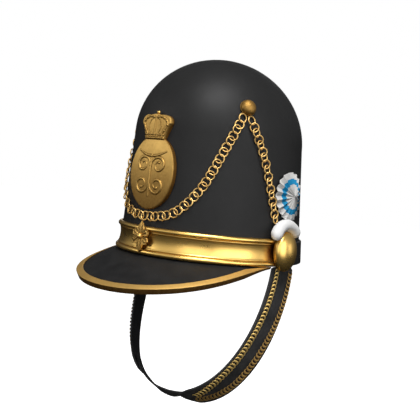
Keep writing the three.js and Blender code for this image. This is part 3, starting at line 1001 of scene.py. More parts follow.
@dataclass
class HeadBands:
    """The dished brass band across the front and the leather band behind it."""

    form: CrownForm
    height: float = 27.0
    bead: float = 2.4
    bead_steps: int = 13
    sheet: float = 1.3
    dish: float = 1.05
    dish_steps: int = 15
    dish_power: float = 0.8
    line: float = 0.35
    line_run: float = 1.5
    line_rows: tuple[Pair, ...] = ((1.1, 0.4), (0.4, 0.1))
    inner_patina: float = 0.6
    groove_patina: float = 0.85
    under_bead_painted_shade: float = 0.5
    dish_fade: float = 5
    front_end: float = 85.0
    front_sharp: float = 50
    back_height: float = 23.5
    back_thickness: float = 1.8
    back_start: float = 96.0
    back_steps: int = 6
    back_wear: float = 0.15
    step: float = 1.25

    def bead_rows(self, up: float, groove: int) -> list[Triple]:
        """Lists a half-round bead from its top to its foot.

        Args:
            up: Height of its middle.
            groove: Number of the row that lies in the groove beside it.

        Returns:
            Rows of out, up and patina.
        """
        edge = CURVED_GAP + self.sheet
        rows = [(*row, 0.0) for row in arc(edge, up, self.bead, 90, -90, self.bead_steps)]
        rows[groove] = (*rows[groove][:2], self.groove_patina)
        return rows

    def front_section(self) -> tuple[np.ndarray, np.ndarray]:
        """Draws the brass band's section.

        Returns:
            Rows of out and up, and their patina, with painted shade just under the top bead.
        """
        face = CURVED_GAP + self.sheet
        rows = [(CURVED_GAP, up, self.inner_patina) for up in (0.0, self.height)]
        top, low = self.height - self.bead, self.bead
        start, end = top - self.bead - self.line_run, low + self.bead + self.line_run
        rows += self.bead_rows(top, -1)
        rows += [(face + self.line, start + off, tone) for off, tone in self.line_rows]
        for share in np.linspace(0, 1, self.dish_steps):
            sink = self.dish * math.sin(math.pi * share) ** self.dish_power
            # Painted shade: darkest just under the top bead, fading quickly down the dish.
            dull = self.under_bead_painted_shade * (1 - share) ** self.dish_fade
            rows.append((face - sink, lerp(start, end, share), dull))
        rows += [(face + self.line, end - off, tone) for off, tone in reversed(self.line_rows)]
        table = np.array(rows + self.bead_rows(low, 0))
        return table[:, :2], table[:, 2]

    def front_band(self) -> Piece:
        """Builds the brass band.

        Returns:
            The band.
        """
        # The patina rows also carry the painted shade under the top bead.
        section, patina = self.front_section()
        angles = even_places(-self.front_end, self.front_end, self.step)
        rings = self.form.sweep(angles, lambda _: section)
        draft = MeshDraft().loft(rings, [patina] * len(rings))
        return draft.to_piece("brass_band", BRASS, "front_band", self.front_sharp)

    def back_band(self) -> Piece:
        """Builds the leather band with rubbed round edges.

        Returns:
            The band.
        """
        edge = self.back_thickness / 2
        out = CURVED_GAP + self.back_thickness - edge
        top = arc(out, self.back_height - edge, edge, 90, 0, self.back_steps)
        low = [(face, self.back_height - up) for face, up in reversed(top)]
        section = np.array([(CURVED_GAP, 0.0), (CURVED_GAP, self.back_height), *top, *low])
        rubbed = [self.back_wear] * (len(top) - 1)
        tones = np.array([0, 0, *rubbed, 0, 0, *rubbed])
        angles = even_places(self.back_start, 360 - self.back_start, 2 * self.step)
        rings = self.form.sweep(angles, lambda _: section)
        draft = MeshDraft().loft(rings, [tones] * len(rings))
        return draft.to_piece("leather_back_band", LEATHER, "back_band")

    def build(self) -> list[Piece]:
        """Builds both bands."""
        return [self.front_band(), self.back_band()]


@dataclass
class Peak:
    """The sloping leather visor and the brass channel folded over its edge.

    The trim's tones go over its lip, round its nose, along its underside and back inside: the lip
    stays bright, the nose's outer face and the underside carry painted shade, and the hidden inside
    carries patina.
    """

    form: CrownForm
    reach: float = 51.2
    slope: float = 28.0
    thickness: float = 2.8
    thinned: float = 1.1
    thin_run: float = 14.0
    end: float = 82.4
    vanish: float = 85.5
    fullness: float = 1.7
    flange: float = 2.6
    droop: float = 0.4
    droop_power: float = 8.0
    arch: float = 0.9
    arched_run: float = 30.0
    arch_steps: int = 10
    thin_edge: float = 0.05
    lip: float = 7.2
    sheet: float = 1.2
    thin_sheet: float = 0.45
    trim_end: float = 81.5
    trim_sharp: float = 35
    trim_patina_and_shade: tuple[float, ...] = (1.0, 0.0, 0.0, 0.0, 0.05, 0.5, *[0.9] * 7, *[1.0] * 3)
    nose: float = 0.3
    nose_steps: int = 4
    step: float = 1.0

    def run(self, angle: float) -> float:
        """Gives the visor's length down its slope at an angle."""
        fade = math.cos(math.radians(90 * angle / self.vanish)) ** self.fullness
        return self.reach * fade / math.cos(math.radians(self.slope))

    def thick(self, angle: float) -> float:
        """Gives the leather's thickness at an angle, thinned toward the ends."""
        return lerp(self.thinned, self.thickness, min(self.run(angle) / self.thin_run, 1))

    def channel(self, angle: float) -> float:
        """Gives the thickness of the trim's sheet at an angle, thinned toward the ends."""
        return lerp(self.thin_sheet, self.sheet, min(self.run(angle) / self.thin_run, 1))

    def root(self, angle: float) -> float:
        """Gives the height of the visor's root, which droops toward its ends."""
        return -CURVED_GAP - self.droop * abs(angle / self.end) ** self.droop_power

    def on_slope(self, angle: float, run: float, above: float) -> Pair:
        """Finds a place on the visor's slope.

        Args:
            angle: Angle round the crown.
            run: Distance down the slope.
            above: Distance above the upper face.

        Returns:
            The place's out and up.
        """
        lean = math.radians(self.slope)
        out = CURVED_GAP + run * math.cos(lean) + above * math.sin(lean)
        return out, self.root(angle) - run * math.sin(lean) + above * math.cos(lean)

    def visor_section(self, angle: float) -> np.ndarray:
        """Draws the leather's section, slightly arched between root and edge.

        Args:
            angle: Angle round the crown.

        Returns:
            Rows of out and up.
        """
        edge = max(self.run(angle) - self.channel(angle) - GAP, self.thin_edge)
        root, thick = self.root(angle), self.thick(angle)
        bare = max(edge - self.lip, edge / 2)
        lift = self.arch * min(edge / self.arched_run, 1)
        runs = np.append(np.linspace(0, bare, self.arch_steps)[1:], edge)
        rises = lift * np.sin(math.pi * np.minimum(runs / bare, 1))
        top, low = (
            [self.on_slope(angle, *row) for row in zip(runs, rises - under, strict=True)]
            for under in (0, thick)
        )
        start = [(-self.flange, root), (0.0, root)]
        finish = [(0.0, root - thick), (-self.flange, root - thick)]
        return np.array(start + top + low[::-1] + finish)

    def trim_section(self, angle: float) -> np.ndarray:
        """Draws the channel's section, with a flat outer face.

        Args:
            angle: Angle round the crown.

        Returns:
            Rows of out and up.
        """
        edge, sheet = self.run(angle), self.channel(angle)
        start = max(edge - self.lip, (edge - sheet) / 2)
        over, under = GAP + sheet, -self.thick(angle) - GAP
        corner = arc(edge - self.nose, over - self.nose, self.nose, 90, 0, self.nose_steps)
        nose = corner + [(run, over + under - sheet - above) for run, above in reversed(corner)]
        inner = edge - sheet
        soft = sheet / 3
        rows = [(start, GAP), (start, over - soft), (start + soft, over), *nose]
        rows += [(start + soft, under - sheet), (start, under - sheet + soft), (start, under)]
        rows += [(inner, under), (inner, GAP)]
        return np.array([self.on_slope(angle, *row) for row in rows])

    def build(self) -> list[Piece]:
        """Builds the visor and its trim.

        Returns:
            Both pieces.
        """
        angles = even_places(-self.end, self.end, self.step)
        rings = self.form.sweep(angles, self.visor_section)
        visor = MeshDraft().loft(rings).to_piece("leather_visor", LEATHER, "visor")
        angles = even_places(-self.trim_end, self.trim_end, self.step)
        rings = self.form.sweep(angles, self.trim_section)
        # Painted shade on the nose's outer face and underside, patina on the hidden inside.
        draft = MeshDraft().loft(rings, [np.array(self.trim_patina_and_shade)] * len(rings))
        trim = draft.to_piece("brass_visor_trim", TRIM_BRASS, "visor_trim", self.trim_sharp)
        return [visor, trim]


def line_relief(
    places: np.ndarray, lines: Rings, rise: float
) -> tuple[np.ndarray, np.ndarray]:
    """Finds how far half-round lines stand up from a plate.

    Args:
        places: Flat places on the plate.
        lines: Rows of x, y and half width along each line.
        rise: Height of a line of half width one.

    Returns:
        Height at each place, and how deep it lies in the corner at a line's foot.
    """
    height = np.zeros(len(places))
    nearest = np.full(len(places), np.inf)
    for line in lines:
        for start, end in zip(line[:-1], line[1:], strict=True):
            run = end[:2] - start[:2]
            share = np.clip((places - start[:2]) @ run / max(run @ run, TINY), 0, 1)
            width = start[2] + (end[2] - start[2]) * share
            off = np.linalg.norm(places - start[:2] - share[:, None] * run, axis=1) / width
            height = np.maximum(height, rise * width * np.sqrt(np.clip(1 - off * off, 0, 1)))
            nearest = np.minimum(nearest, off)
    return height, bell(nearest - FOOT_AT, FOOT_WIDTH)


@dataclass
class FrontPlate:
    """The cast oval plate with raised scrolls and its small open crown.

    A volute has the x and y of its middle, its radius, its first angle and its whole turn. The
    raised lines of the small crown are rows of x, y and half width.
    """

    form: CrownForm
    draft: MeshDraft = field(default_factory=MeshDraft)
    half_width: float = 27.7
    half_height: float = 35.5
    middle: float = 78.2
    front: float = 2.8
    back: float = -2.8
    back_shares: tuple[float, ...] = (1.0, 0.85, 0.6, 0.3)
    bevel: float = 0.8
    swell: float = 1.7
    rise: float = 0.85
    rings: int = 84
    sides: int = 400
    foot_patina: float = 0.7
    low_painted_shade: float = 0.62
    low_range: Pair = (-0.95, 0.8)
    flat_patina: float = 0.02
    rubbed: float = 0.3
    oval_rim_painted_shade: float = 0.8
    volutes: tuple[tuple[float, float, float, float, float], ...] = (
        (9.6, -12.0, 8.6, 175.0, 470.0),
        (9.6, 7.0, 8.6, 185.0, -470.0),
    )
    volute_steps: int = 44
    volute_shrink: float = 0.7
    volute_width: float = 0.62
    volute_belly: float = 1.3
    volute_bud: float = 0.45
    bud_from: float = 0.9
    stem: Sequence[int] = (-23, 17, 21)
    stem_middle: float = -3
    stem_half: float = 20
    stem_width: Pair = (0.6, 0.55)
    garland_steps: int = 31
    garland_half: float = 17
    garland_top: float = 20.5
    garland_sag: float = 5
    garland_width: Pair = (1.15, 0.55)
    base: float = 31.5
    half_base: float = 11.4
    half_top: float = 17.6
    shoulder: float = 15.5
    height: float = 22.6
    peak: float = 1
    lobe: float = 0.55
    dip: float = 0.3
    lobe_steps: int = 40
    proud: float = 0.9
    sunk: float = 0.4
    columns: int = 90
    rows: int = 66
    bow: float = 1.1
    bow_fall: float = 0.02
    bow_middle: float = 12
    crest_patina: float = 0.16
    crest_edge_painted_shade: float = 0.4
    crest_bevel: float = 0.6
    crest_swell: float = 1
    arch: tuple[Triple, ...] = (
        (8.55, 4.0, 0.8),
        (14.96, 15.5, 0.8),
        (7.92, 21.1, 0.75),
        (0.0, 20.4, 0.7),
    )
    half_arch: tuple[Triple, ...] = (
        (4.2, 4.6, 0.5),
        (7.6, 13.0, 0.5),
        (4.4, 19.0, 0.45),
        (0.4, 20.2, 0.4),
    )
    arch_steps: Sequence[int] = (26, 20)
    post: tuple[Triple, ...] = ((0.0, 4.4, 0.75), (0.0, 20.6, 0.75))
    rims: Pair = (0.9, 4.3)
    rim_width: float = 0.8
    arch_pearl: float = 0.45
    arch_pearls: Sequence[int] = (3, -3, 4)
    pearl: float = 0.85
    pearl_level: float = 2.6
    pearl_reach: float = 9.6
    pearls: int = 7
    dot: float = 0.01
    ball: float = 1.9
    ball_seat: float = 0.9
    ball_top: float = 1.9
    ball_sides: int = 20
    ball_range: Sequence[int] = (-60, 80, 12)
    collar: tuple[Pair, ...] = ((1.25, -1.6), (1.25, -0.9), (0.85, -0.5))

    def scrolls(self) -> Rings:
        """Draws the raised lines of the oval.

        Returns:
            Rows of x, y and half width along each line.
        """
        lines = []
        shares = np.linspace(0, 1, self.volute_steps)
        belly = np.sin(math.pi * np.clip(shares * self.volute_belly, 0, 1))
        bud = self.volute_bud * smooth_step(self.bud_from, 1, shares)
        width = self.volute_width + self.volute_width * belly + bud
        for x, y, radius, start, turn in self.volutes:
            angles = np.radians(start + turn * shares)
            reach = radius * (1 - self.volute_shrink * shares)
            across, up = x + reach * np.cos(angles), y + reach * np.sin(angles)
            lines += [np.column_stack([side * across, up, width]) for side in (1, -1)]
        stem = np.linspace(*self.stem)
        thin, more = self.stem_width
        far = (stem - self.stem_middle) / self.stem_half
        lines.append(np.column_stack([0 * stem, stem, thin + more * np.cos(far * math.pi / 2)]))
        share = np.linspace(-1, 1, self.garland_steps)
        hang = self.garland_top - self.garland_sag * (1 - share**2)
        thick, less = self.garland_width
        across = self.garland_half * share
        lines.append(np.column_stack([across, hang, thick - less * np.abs(share)]))
        return lines

    def behind(self, places: np.ndarray) -> np.ndarray:
        """Gives the depth of the plate's back, which clears the felt.

        Args:
            places: Flat places on the plate.

        Returns:
            Depth at each place.
        """
        share = self.form.scale(self.middle)
        bend = (self.form.half_width * share) ** 2 / (self.form.half_length * share)
        felt = np.sqrt(np.clip(bend**2 - places[:, 0] ** 2, 0, None)) - bend
        return np.maximum(self.back, felt + CURVED_GAP)

    def seated(self, points: np.ndarray) -> np.ndarray:
        """Moves the plate's own places to the front of the crown."""
        return self.form.seat(points, 0, self.middle, 0)

    def oval(self) -> None:
        """Adds the oval with its scrolls."""
        turns = circle(self.sides)
        rim = np.column_stack([self.half_width * np.sin(turns), self.half_height * np.cos(turns)])
        inset = 1 - self.bevel / self.half_width
        shares = inset * np.linspace(0, 1, self.rings + 1)[1:]
        flats = [rim * share for share in shares]
        height, foot = (
            value.reshape(self.rings, -1)
            for value in line_relief(np.vstack(flats), self.scrolls(), self.rise)
        )
        low_from, low_to = (share * self.half_height for share in self.low_range)
        rings, tones = [], []
        for share, flat, up, shade in zip(shares, flats, height, foot, strict=True):
            level = self.front + self.swell * (1 - share**2) - 0.5 * self.swell
            rings.append(np.column_stack([flat, level + up]))
            # Painted shade: the oval grows darker toward its bottom.
            low = self.low_painted_shade * (1 - smooth_step(low_from, low_to, flat[:, 1]))
            dull = low + self.flat_patina - self.rubbed * up
            tones.append(np.clip(np.maximum(self.foot_patina * shade, dull), 0, 1))
        middle = np.array([[0, 0, rings[0][:, 2].mean()]])
        edge = np.full(self.sides, rings[-1][:, 2].mean() - self.bevel)
        backs = [np.column_stack([rim * s, self.behind(rim * s)]) for s in self.back_shares]
        seat_back = np.array([[0, 0, CURVED_GAP]])
        whole = [middle, *rings, np.column_stack([rim, edge]), *backs, seat_back]
        # Painted shade on the bevel and the side wall; the hidden back takes full patina.
        tones = [np.zeros(1), *tones, np.full(self.sides, self.oval_rim_painted_shade)]
        tones += [np.ones(len(ring)) for ring in [*backs, seat_back]]
        self.draft.loft([self.seated(ring) for ring in whole], tones, caps=False)

    def top_line(self) -> np.ndarray:
        """Draws the small crown's lobed top, from its left shoulder to its right.

        Returns:
            A flat place for each column.
        """
        lobe, dip = self.lobe * self.half_top, self.dip * self.half_top
        top, peak = self.height, (0.0, self.height + self.peak)
        arcs = [
            ((self.half_top, self.shoulder), (self.half_top, top), (lobe, top)),
            ((lobe, top), (dip, top), peak),
        ]
        rows = []
        for bends in arcs:
            for share in np.linspace(0, 1, self.lobe_steps, endpoint=False):
                weights = ((1 - share) ** 2, 2 * share * (1 - share), share**2)
                rows.append(sum(w * np.array(p) for w, p in zip(weights, bends, strict=True)))
        right = np.array([*rows, np.array(peak)])
        line = np.vstack([right * (-1, 1), right[-2::-1]])
        lengths = lengths_along(line)
        spread = np.linspace(0, lengths[-1], self.columns)
        return np.column_stack([np.interp(spread, lengths, line[:, k]) for k in (0, 1)])

    def crown_lines(self) -> Rings:
        """Draws the raised rims, arches and pearls of the small crown.

        Returns:
            Rows of x, y and half width along each line.
        """
        arch, half_arch = (
            smooth_line(np.array(rows), steps)
            for rows, steps in zip((self.arch, self.half_arch), self.arch_steps, strict=True)
        )
        dot = np.array([(0, 0, 0), (self.dot, 0, 0)])
        lines = [
            np.array([(side * self.half_base, up, self.rim_width) for side in (-1, 1)])
            for up in self.rims
        ]
        lines.append(np.array(self.post))
        for side in (1, -1):
            lines += [arch * (side, 1, 1), half_arch * (side, 1, 1)]
            for spot in arch[slice(*self.arch_pearls)]:
                lines.append((spot + dot) * (side, 1, 1) + (0, 0, self.arch_pearl))
        for x in np.linspace(-self.pearl_reach, self.pearl_reach, self.pearls):
            lines.append(np.array((x, self.pearl_level, self.pearl)) + dot)
        return lines

    def crest_places(self) -> np.ndarray:
        """Spreads flat places over the small crown, which curves out from its base.

        Returns:
            The places, row by row.
        """
        flat = np.zeros((self.rows, self.columns, 2))
        share = np.linspace(0, 1, self.rows)[:, None]
        across = np.linspace(-1, 1, self.columns)
        for k, (side, tip) in enumerate(zip(across, self.top_line(), strict=True)):
            foot = np.array([side * self.half_base, 0.0])
            pull = np.array([side * (self.half_base + self.crest_swell), tip[1] / 2])
            flat[:, k] = foot * (1 - share) ** 2 + pull * 2 * share * (1 - share) + tip * share**2
        return flat.reshape(-1, 2)

    def crest(self) -> None:
        """Adds the small crown above the oval."""
        columns, rows = self.columns, self.rows
        places = self.crest_places()
        height, foot = line_relief(places, self.crown_lines(), self.rise)
        bow = self.bow * (1 - (places[:, 0] / self.half_top) ** 2)
        bow -= self.bow_fall * (places[:, 1] - self.bow_middle) ** 2 / self.bow_middle
        face = self.front + self.proud - self.sunk
        grid = np.column_stack([places + (0, self.base), face + bow + height])
        number = np.arange(rows * columns).reshape(rows, columns)
        faces = [
            (number[i, k], number[i, k + 1], number[i + 1, k + 1], number[i + 1, k])
            for i in range(rows - 1)
            for k in range(columns - 1)
        ]
        around = np.concatenate([number[0], number[1:, -1], number[-1, -2::-1], number[-2:0:-1, 0]])
        loop = grid[around]
        ahead = np.roll(loop, -1, axis=0)[:, :2] - np.roll(loop, 1, axis=0)[:, :2]
        outward = np.column_stack([ahead[:, 1], -ahead[:, 0]])
        outward /= np.maximum(np.linalg.norm(outward, axis=1), TINY)[:, None]
        spread = loop[:, :2] + outward * self.bevel * self.crest_bevel
        bevel = np.column_stack([spread, loop[:, 2] - self.bevel])
        wall = np.column_stack([spread, self.behind(spread)])
        size = len(around)
        first, second = len(grid), len(grid) + size
        for k in range(size):
            after = (k + 1) % size
            faces.append((around[k], around[after], first + after, first + k))
            faces.append((first + k, first + after, second + after, second + k))
        low = second + np.arange(columns)
        high = second + 2 * columns + rows - 3 - np.arange(columns)
        faces += [(low[k], low[k + 1], high[k + 1], high[k]) for k in range(columns - 1)]
        faces.append(tuple(range(low[-1], high[-1] + 1)))
        faces.append((*range(high[0], second + size), second))
        dull = np.maximum(self.foot_patina * foot, self.crest_patina)
        # Painted shade on the crest's bevel and side wall; its hidden back takes full patina.
        tones = np.concatenate([dull, np.full(size, self.crest_edge_painted_shade), np.ones(size)])
        self.draft.add(self.seated(np.vstack([grid, bevel, wall])), faces, tones)

    def finial(self) -> None:
        """Adds the ball on its collar at the top of the small crown."""
        ball = arc(0, self.ball * self.ball_seat, self.ball, *self.ball_range)
        rings = dome_rings([*self.collar, *ball], self.ball_sides, self.ball_top * self.ball)
        foot = (0, self.base + self.height + self.peak, self.front + self.proud - self.ball)
        rings = [self.seated(ring[:, [1, 2, 0]] + foot) for ring in rings]
        self.draft.loft(rings, caps=False)

    def build(self) -> list[Piece]:
        """Builds the whole plate as one piece.

        Returns:
            The plate.
        """
        self.oval()
        self.crest()
        self.finial()
        return [self.draft.to_piece("crowned_plate", ANTIQUE, "front_plate")]


@dataclass(frozen=True)
class LeafForm:
    """Outline of a kind of leaf: where it swells, its tip's width and its notch."""

    swell: float
    tip: float
    notch: float


@dataclass(frozen=True)
class Leaf:
    """One leaf of the band flower, turned from straight up."""

    turn: float
    length: float
    half_width: float
    form: LeafForm


POINTED = LeafForm(0.9, 0.05, 0.0)
FORKED = LeafForm(1.6, 0.45, 2.0)


@dataclass
class BandFlower:
    """The cast flower on the middle of the brass band."""

    form: CrownForm
    draft: MeshDraft = field(default_factory=MeshDraft)
    middle: float = 17.0
    lift: float = 4.2
    root: float = 1.2
    inset: float = 0.2
    rim: float = 0.8
    rim_edge: float = 0.8
    ridge: float = 2.3
    ridge_foot: float = 0.35
    rib: float = 0.16
    rib_foot: float = 0.45
    vein: float = 0.14
    veins: float = 5
    vein_slant: float = 1.4
    cup: float = 0.55
    notch_from: float = 0.72
    notch_power: float = 0.7
    hollow_patina: float = 0.55
    vein_patina: float = 0.5
    under_patina: float = 0.9
    bead: float = 2.6
    bead_sides: int = 28
    bead_foot: tuple[Pair, ...] = ((1.0, -0.5), (1.04, -0.2))
    bead_range: Sequence[int] = (0, 84, 9)
    steps: int = 26
    across: int = 17
    sharp: float = 45
    leaves: tuple[Leaf, ...] = (
        Leaf(0, 14.6, 4.2, POINTED),
        Leaf(180, 15.2, 4.2, POINTED),
        Leaf(58, 11.8, 4.0, FORKED),
        Leaf(-58, 11.8, 4.0, FORKED),
        Leaf(122, 11.8, 4.0, FORKED),
        Leaf(-122, 11.8, 4.0, FORKED),
    )

    def seated(self, points: np.ndarray) -> np.ndarray:
        """Moves the flower's own places onto the band."""
        return self.form.seat(points, 0, self.middle, self.lift + GAP)

    def leaf(self, leaf: Leaf) -> None:
        """Adds a leaf with a raised rib, side veins and a pointed or notched tip.

        Args:
            leaf: The leaf.
        """
        side = np.linspace(-1, 1, self.across)
        out = np.abs(side)
        rib = bell(side, self.rib)
        turn = math.radians(leaf.turn)
        cos, sin = math.cos(turn), math.sin(turn)
        spin = np.array([[cos, -sin, 0], [sin, cos, 0], [0, 0, 1]])
        rings, tones = [], []
        for share in np.linspace(0, 1, self.steps + 1):
            full = math.sin(math.pi * share**leaf.form.swell)
            tip = leaf.form.tip * leaf.half_width
            half = max(lerp(self.root, tip, share), leaf.half_width * full)
            notch = leaf.form.notch * float(smooth_step(self.notch_from, 1, share))
            y = lerp(self.inset, leaf.length, share) - notch * (1 - out) ** self.notch_power
            wave = np.cos(2 * math.pi * (self.veins * share - self.vein_slant * out))
            vein = self.vein * wave * (1 - rib) * (1 - out**4)
            rise = (self.ridge - self.rim) * lerp(self.ridge_foot, 1, full)
            top = self.rim + rise * lerp(self.rib_foot, 1, rib) + self.cup * out**2 * full + vein
            top[[0, -1]] = self.rim * self.rim_edge
            upper = np.column_stack([half * side, y, top])
            lower = np.column_stack([half * side[::-1], y[::-1], 0 * side])
            rings.append(self.seated(np.vstack([upper, lower]) @ spin))
            hollow = self.hollow_patina * (1 - rib) * (1 - out)
            hollow += self.vein_patina * np.clip(-vein / self.vein, 0, 1)
            tones.append(np.append(hollow, np.full(self.across, self.under_patina)))
        self.draft.loft(rings, tones)

    def build(self) -> list[Piece]:
        """Builds the leaves and the bead at their middle.

        Returns:
            The flower.
        """
        for leaf in self.leaves:
            self.leaf(leaf)
        bead, ridge = self.bead, self.ridge
        foot = [(bead * share, ridge + up) for share, up in self.bead_foot]
        profile = [(bead, 0.0), *foot, *arc(0, ridge, bead, *self.bead_range)]
        rings = dome_rings(profile, self.bead_sides, ridge + bead)
        self.draft.loft([self.seated(ring) for ring in rings], caps=False)
        return [self.draft.to_piece("band_flower_cast", ANTIQUE, "band_flower", self.sharp)]


class RingTree:
    """Geometry Nodes tree that lays rings along a line of points."""

    NAME = "rings_on_line"
    SWELL_POWER = 1.8
    INPUTS = {
        "NodeSocketInt": ("Count", "Ring Sides", "Wire Sides", "Seed"),
        "NodeSocketFloat": (
            "Ring Radius",
            "Wire Radius",
            "Wire Flatness",
            "Stagger",
            "Roll",
            "Pitch",
            "Jitter",
            "Taper",
            "Narrow Start",
            "Wide End",
            "Painted Shade",
            "Shade",
        ),
        "NodeSocketMaterial": ("Material",),
    }

    @classmethod
    def tree(cls) -> bpy.types.NodeTree:
        """Gives the tree, made on its first use.

        Returns:
            The tree, with its named inputs.
        """
        found = bpy.data.node_groups.get(cls.NAME)
        if found:
            return found
        tree = bpy.data.node_groups.new(cls.NAME, "GeometryNodeTree")
        for way in ("INPUT", "OUTPUT"):
            tree.interface.new_socket(name="Geometry", in_out=way, socket_type="NodeSocketGeometry")
        for kind, names in cls.INPUTS.items():
            for name in names:
                tree.interface.new_socket(name=name, in_out="INPUT", socket_type=kind)
        sketch = NodeSketch(tree)
        given = sketch.add("NodeGroupInput").outputs
        rings = cls.lay(sketch, given, cls.link(sketch, given))
        real = sketch.out("GeometryNodeRealizeInstances", {0: rings})
        inputs = {"Geometry": real, "Material": given["Material"]}
        dressed = sketch.out("GeometryNodeSetMaterial", inputs)
        sketch.add("NodeGroupOutput", {"Geometry": dressed})
        return tree

    @classmethod
    def link(cls, sketch: NodeSketch, given: Sequence[Socket]) -> Socket:
        """Draws one ring of wire, thinner toward one side where it tapers.

        Args:
            sketch: The tree.
            given: The tree's inputs.

        Returns:
            The ring's mesh.
        """
        ring, wire = (
            sketch.out(
                "GeometryNodeCurvePrimitiveCircle",
                {"Resolution": given[f"{name} Sides"], "Radius": given[f"{name} Radius"]},
            )
            for name in ("Ring", "Wire")
        )
        squash = sketch.out("ShaderNodeCombineXYZ", {0: 1.0, 1: given["Wire Flatness"], 2: 1.0})
        wire = sketch.out("GeometryNodeTransform", {"Geometry": wire, "Scale": squash})
        place = sketch.out("GeometryNodeInputPosition")
        ahead = sketch.out("ShaderNodeSeparateXYZ", {0: place})
        ahead = sketch.math("DIVIDE", ahead, given["Ring Radius"])
        taper = given["Taper"]
        lost = sketch.minus(sketch.math("ABSOLUTE", taper), sketch.times(taper, ahead))
        left = sketch.minus(1.0, sketch.times(lost, 0.5))
        swell = sketch.math("POWER", left, cls.SWELL_POWER)
        inputs = {"Curve": ring, "Profile Curve": wire, "Scale": swell}
        mesh = sketch.out("GeometryNodeCurveToMesh", inputs)
        return sketch.out("GeometryNodeSetShadeSmooth", {0: mesh})

    @classmethod
    def lay(cls, sketch: NodeSketch, given: Sequence[Socket], link: Socket) -> Socket:
        """Stands rings on even steps, alternately rolled, each with its own random tone over the
        row's painted shade.

        Args:
            sketch: The tree.
            given: The tree's inputs.
            link: The ring's mesh.

        Returns:
            The rings as instances.
        """
        line = sketch.out("GeometryNodeMeshToCurve", {0: given["Geometry"]})
        steps = sketch.out("GeometryNodeResampleCurve", {"Curve": line, "Count": given["Count"]})
        inputs = {"Name": "outward"}
        outward = sketch.out("GeometryNodeInputNamedAttribute", inputs, data_type="FLOAT_VECTOR")
        along = sketch.out("GeometryNodeInputTangent")
        lie = sketch.out(
            "FunctionNodeAxesToRotation",
            {"Primary Axis": outward, "Secondary Axis": along},
            primary_axis="Z",
            secondary_axis="X",
        )
        index = sketch.out("GeometryNodeInputIndex")
        parity = sketch.minus(sketch.times(sketch.math("MODULO", index, 2.0), 2.0), 1.0)
        inputs = {0: along, "Scale": sketch.times(parity, given["Stagger"])}
        shift = sketch.out("ShaderNodeVectorMath", inputs, operation="SCALE")
        steps = sketch.out("GeometryNodeSetPosition", {"Geometry": steps, "Offset": shift})
        jitter = (sketch.times(given["Jitter"], -1.0), given["Jitter"])
        spread = [cls.chance(sketch, given, index, jitter, number) for number in (0, 1)]
        roll = sketch.plus(sketch.times(parity, given["Roll"]), spread[0])
        pitch = sketch.plus(given["Pitch"], spread[1])
        turn = sketch.out("ShaderNodeCombineXYZ", {0: roll, 1: pitch})
        inputs = {0: lie, 1: sketch.out("FunctionNodeEulerToRotation", {0: turn})}
        stand = sketch.out("FunctionNodeRotateRotation", inputs, rotation_space="LOCAL")
        far = sketch.math("DIVIDE", index, given["Count"])
        widening = sketch.times(far, sketch.minus(given["Wide End"], given["Narrow Start"]))
        width = sketch.plus(given["Narrow Start"], widening)
        size = sketch.out("ShaderNodeCombineXYZ", {0: 1.0, 1: width, 2: 1.0})
        inputs = {"Points": steps, "Instance": link, "Rotation": stand, "Scale": size}
        rings = sketch.out("GeometryNodeInstanceOnPoints", inputs)
        # Painted shade: every ring of the second row starts darker by the row's painted shade.
        reach = (given["Painted Shade"], sketch.plus(given["Painted Shade"], given["Shade"]))
        shade = cls.chance(sketch, given, index, reach, 2)
        inputs = {"Geometry": rings, "Name": TONE, "Value": shade}
        kind = "GeometryNodeStoreNamedAttribute"
        return sketch.out(kind, inputs, data_type="FLOAT", domain="INSTANCE")

    @staticmethod
    def chance(
        sketch: NodeSketch,
        given: Sequence[Socket],
        index: Socket,
        reach: tuple[Socket, Socket],
        shift: int,
    ) -> Socket:
        """Draws a chance value for each ring.

        Args:
            sketch: The tree.
            given: The tree's inputs.
            index: Number of the ring.
            reach: Least and greatest value.
            shift: Number added to the seed.

        Returns:
            The value.
        """
        seed = sketch.plus(given["Seed"], float(shift))
        inputs = {"Min": reach[0], "Max": reach[1], "ID": index, "Seed": seed}
        node = sketch.add("FunctionNodeRandomValue", inputs, data_type="FLOAT")
        return sketch.socket(node.outputs, "Value")


@dataclass(frozen=True)
class RingKind:
    """Size and lie of the rings of one kind of chain."""

    finish: MetalFinish
    radius: float
    wire: float
    pitch: float
    jitter: float
    shade: float
    ring_sides: int
    wire_sides: int
    flatness: float = 1.0
    stagger: float = 0.0
    roll: float = 0.0
    tip: float = 0.0
    taper: float = 0.0
    widths: Pair = (1.0, 1.0)
    # Painted shade that darkens every ring of the second row.
    row_painted_shade: float = 0.8
    row_seed: int = 10

    def values(self, length: float, row: int, seed: int) -> dict[str, object]:
        """Lists the ring tree's inputs for a row of rings.

        Args:
            length: Length of the row's line.
            row: Number of the row, where the second one's rings tip the other way and are darkened
                with painted shade.
            seed: Fixed seed of the first row.

        Returns:
            Values by the input's name.
        """
        return {
            "Count": round(length / self.pitch) + 1,
            "Ring Radius": self.radius * MM,
            "Wire Radius": self.wire * MM,
            "Wire Flatness": self.flatness,
            "Stagger": self.stagger * MM,
            "Roll": math.radians(self.roll),
            "Pitch": math.radians(self.tip) * (1 - 2 * row),
            "Jitter": math.radians(self.jitter),
            "Taper": self.taper * (2 * row - 1),
            "Narrow Start": self.widths[0],
            "Wide End": self.widths[1],
            "Painted Shade": self.row_painted_shade * row,
            "Shade": self.shade,
            "Ring Sides": self.ring_sides,
            "Wire Sides": self.wire_sides,
            "Seed": seed + self.row_seed * row,
            "Material": self.finish.material(),
        }


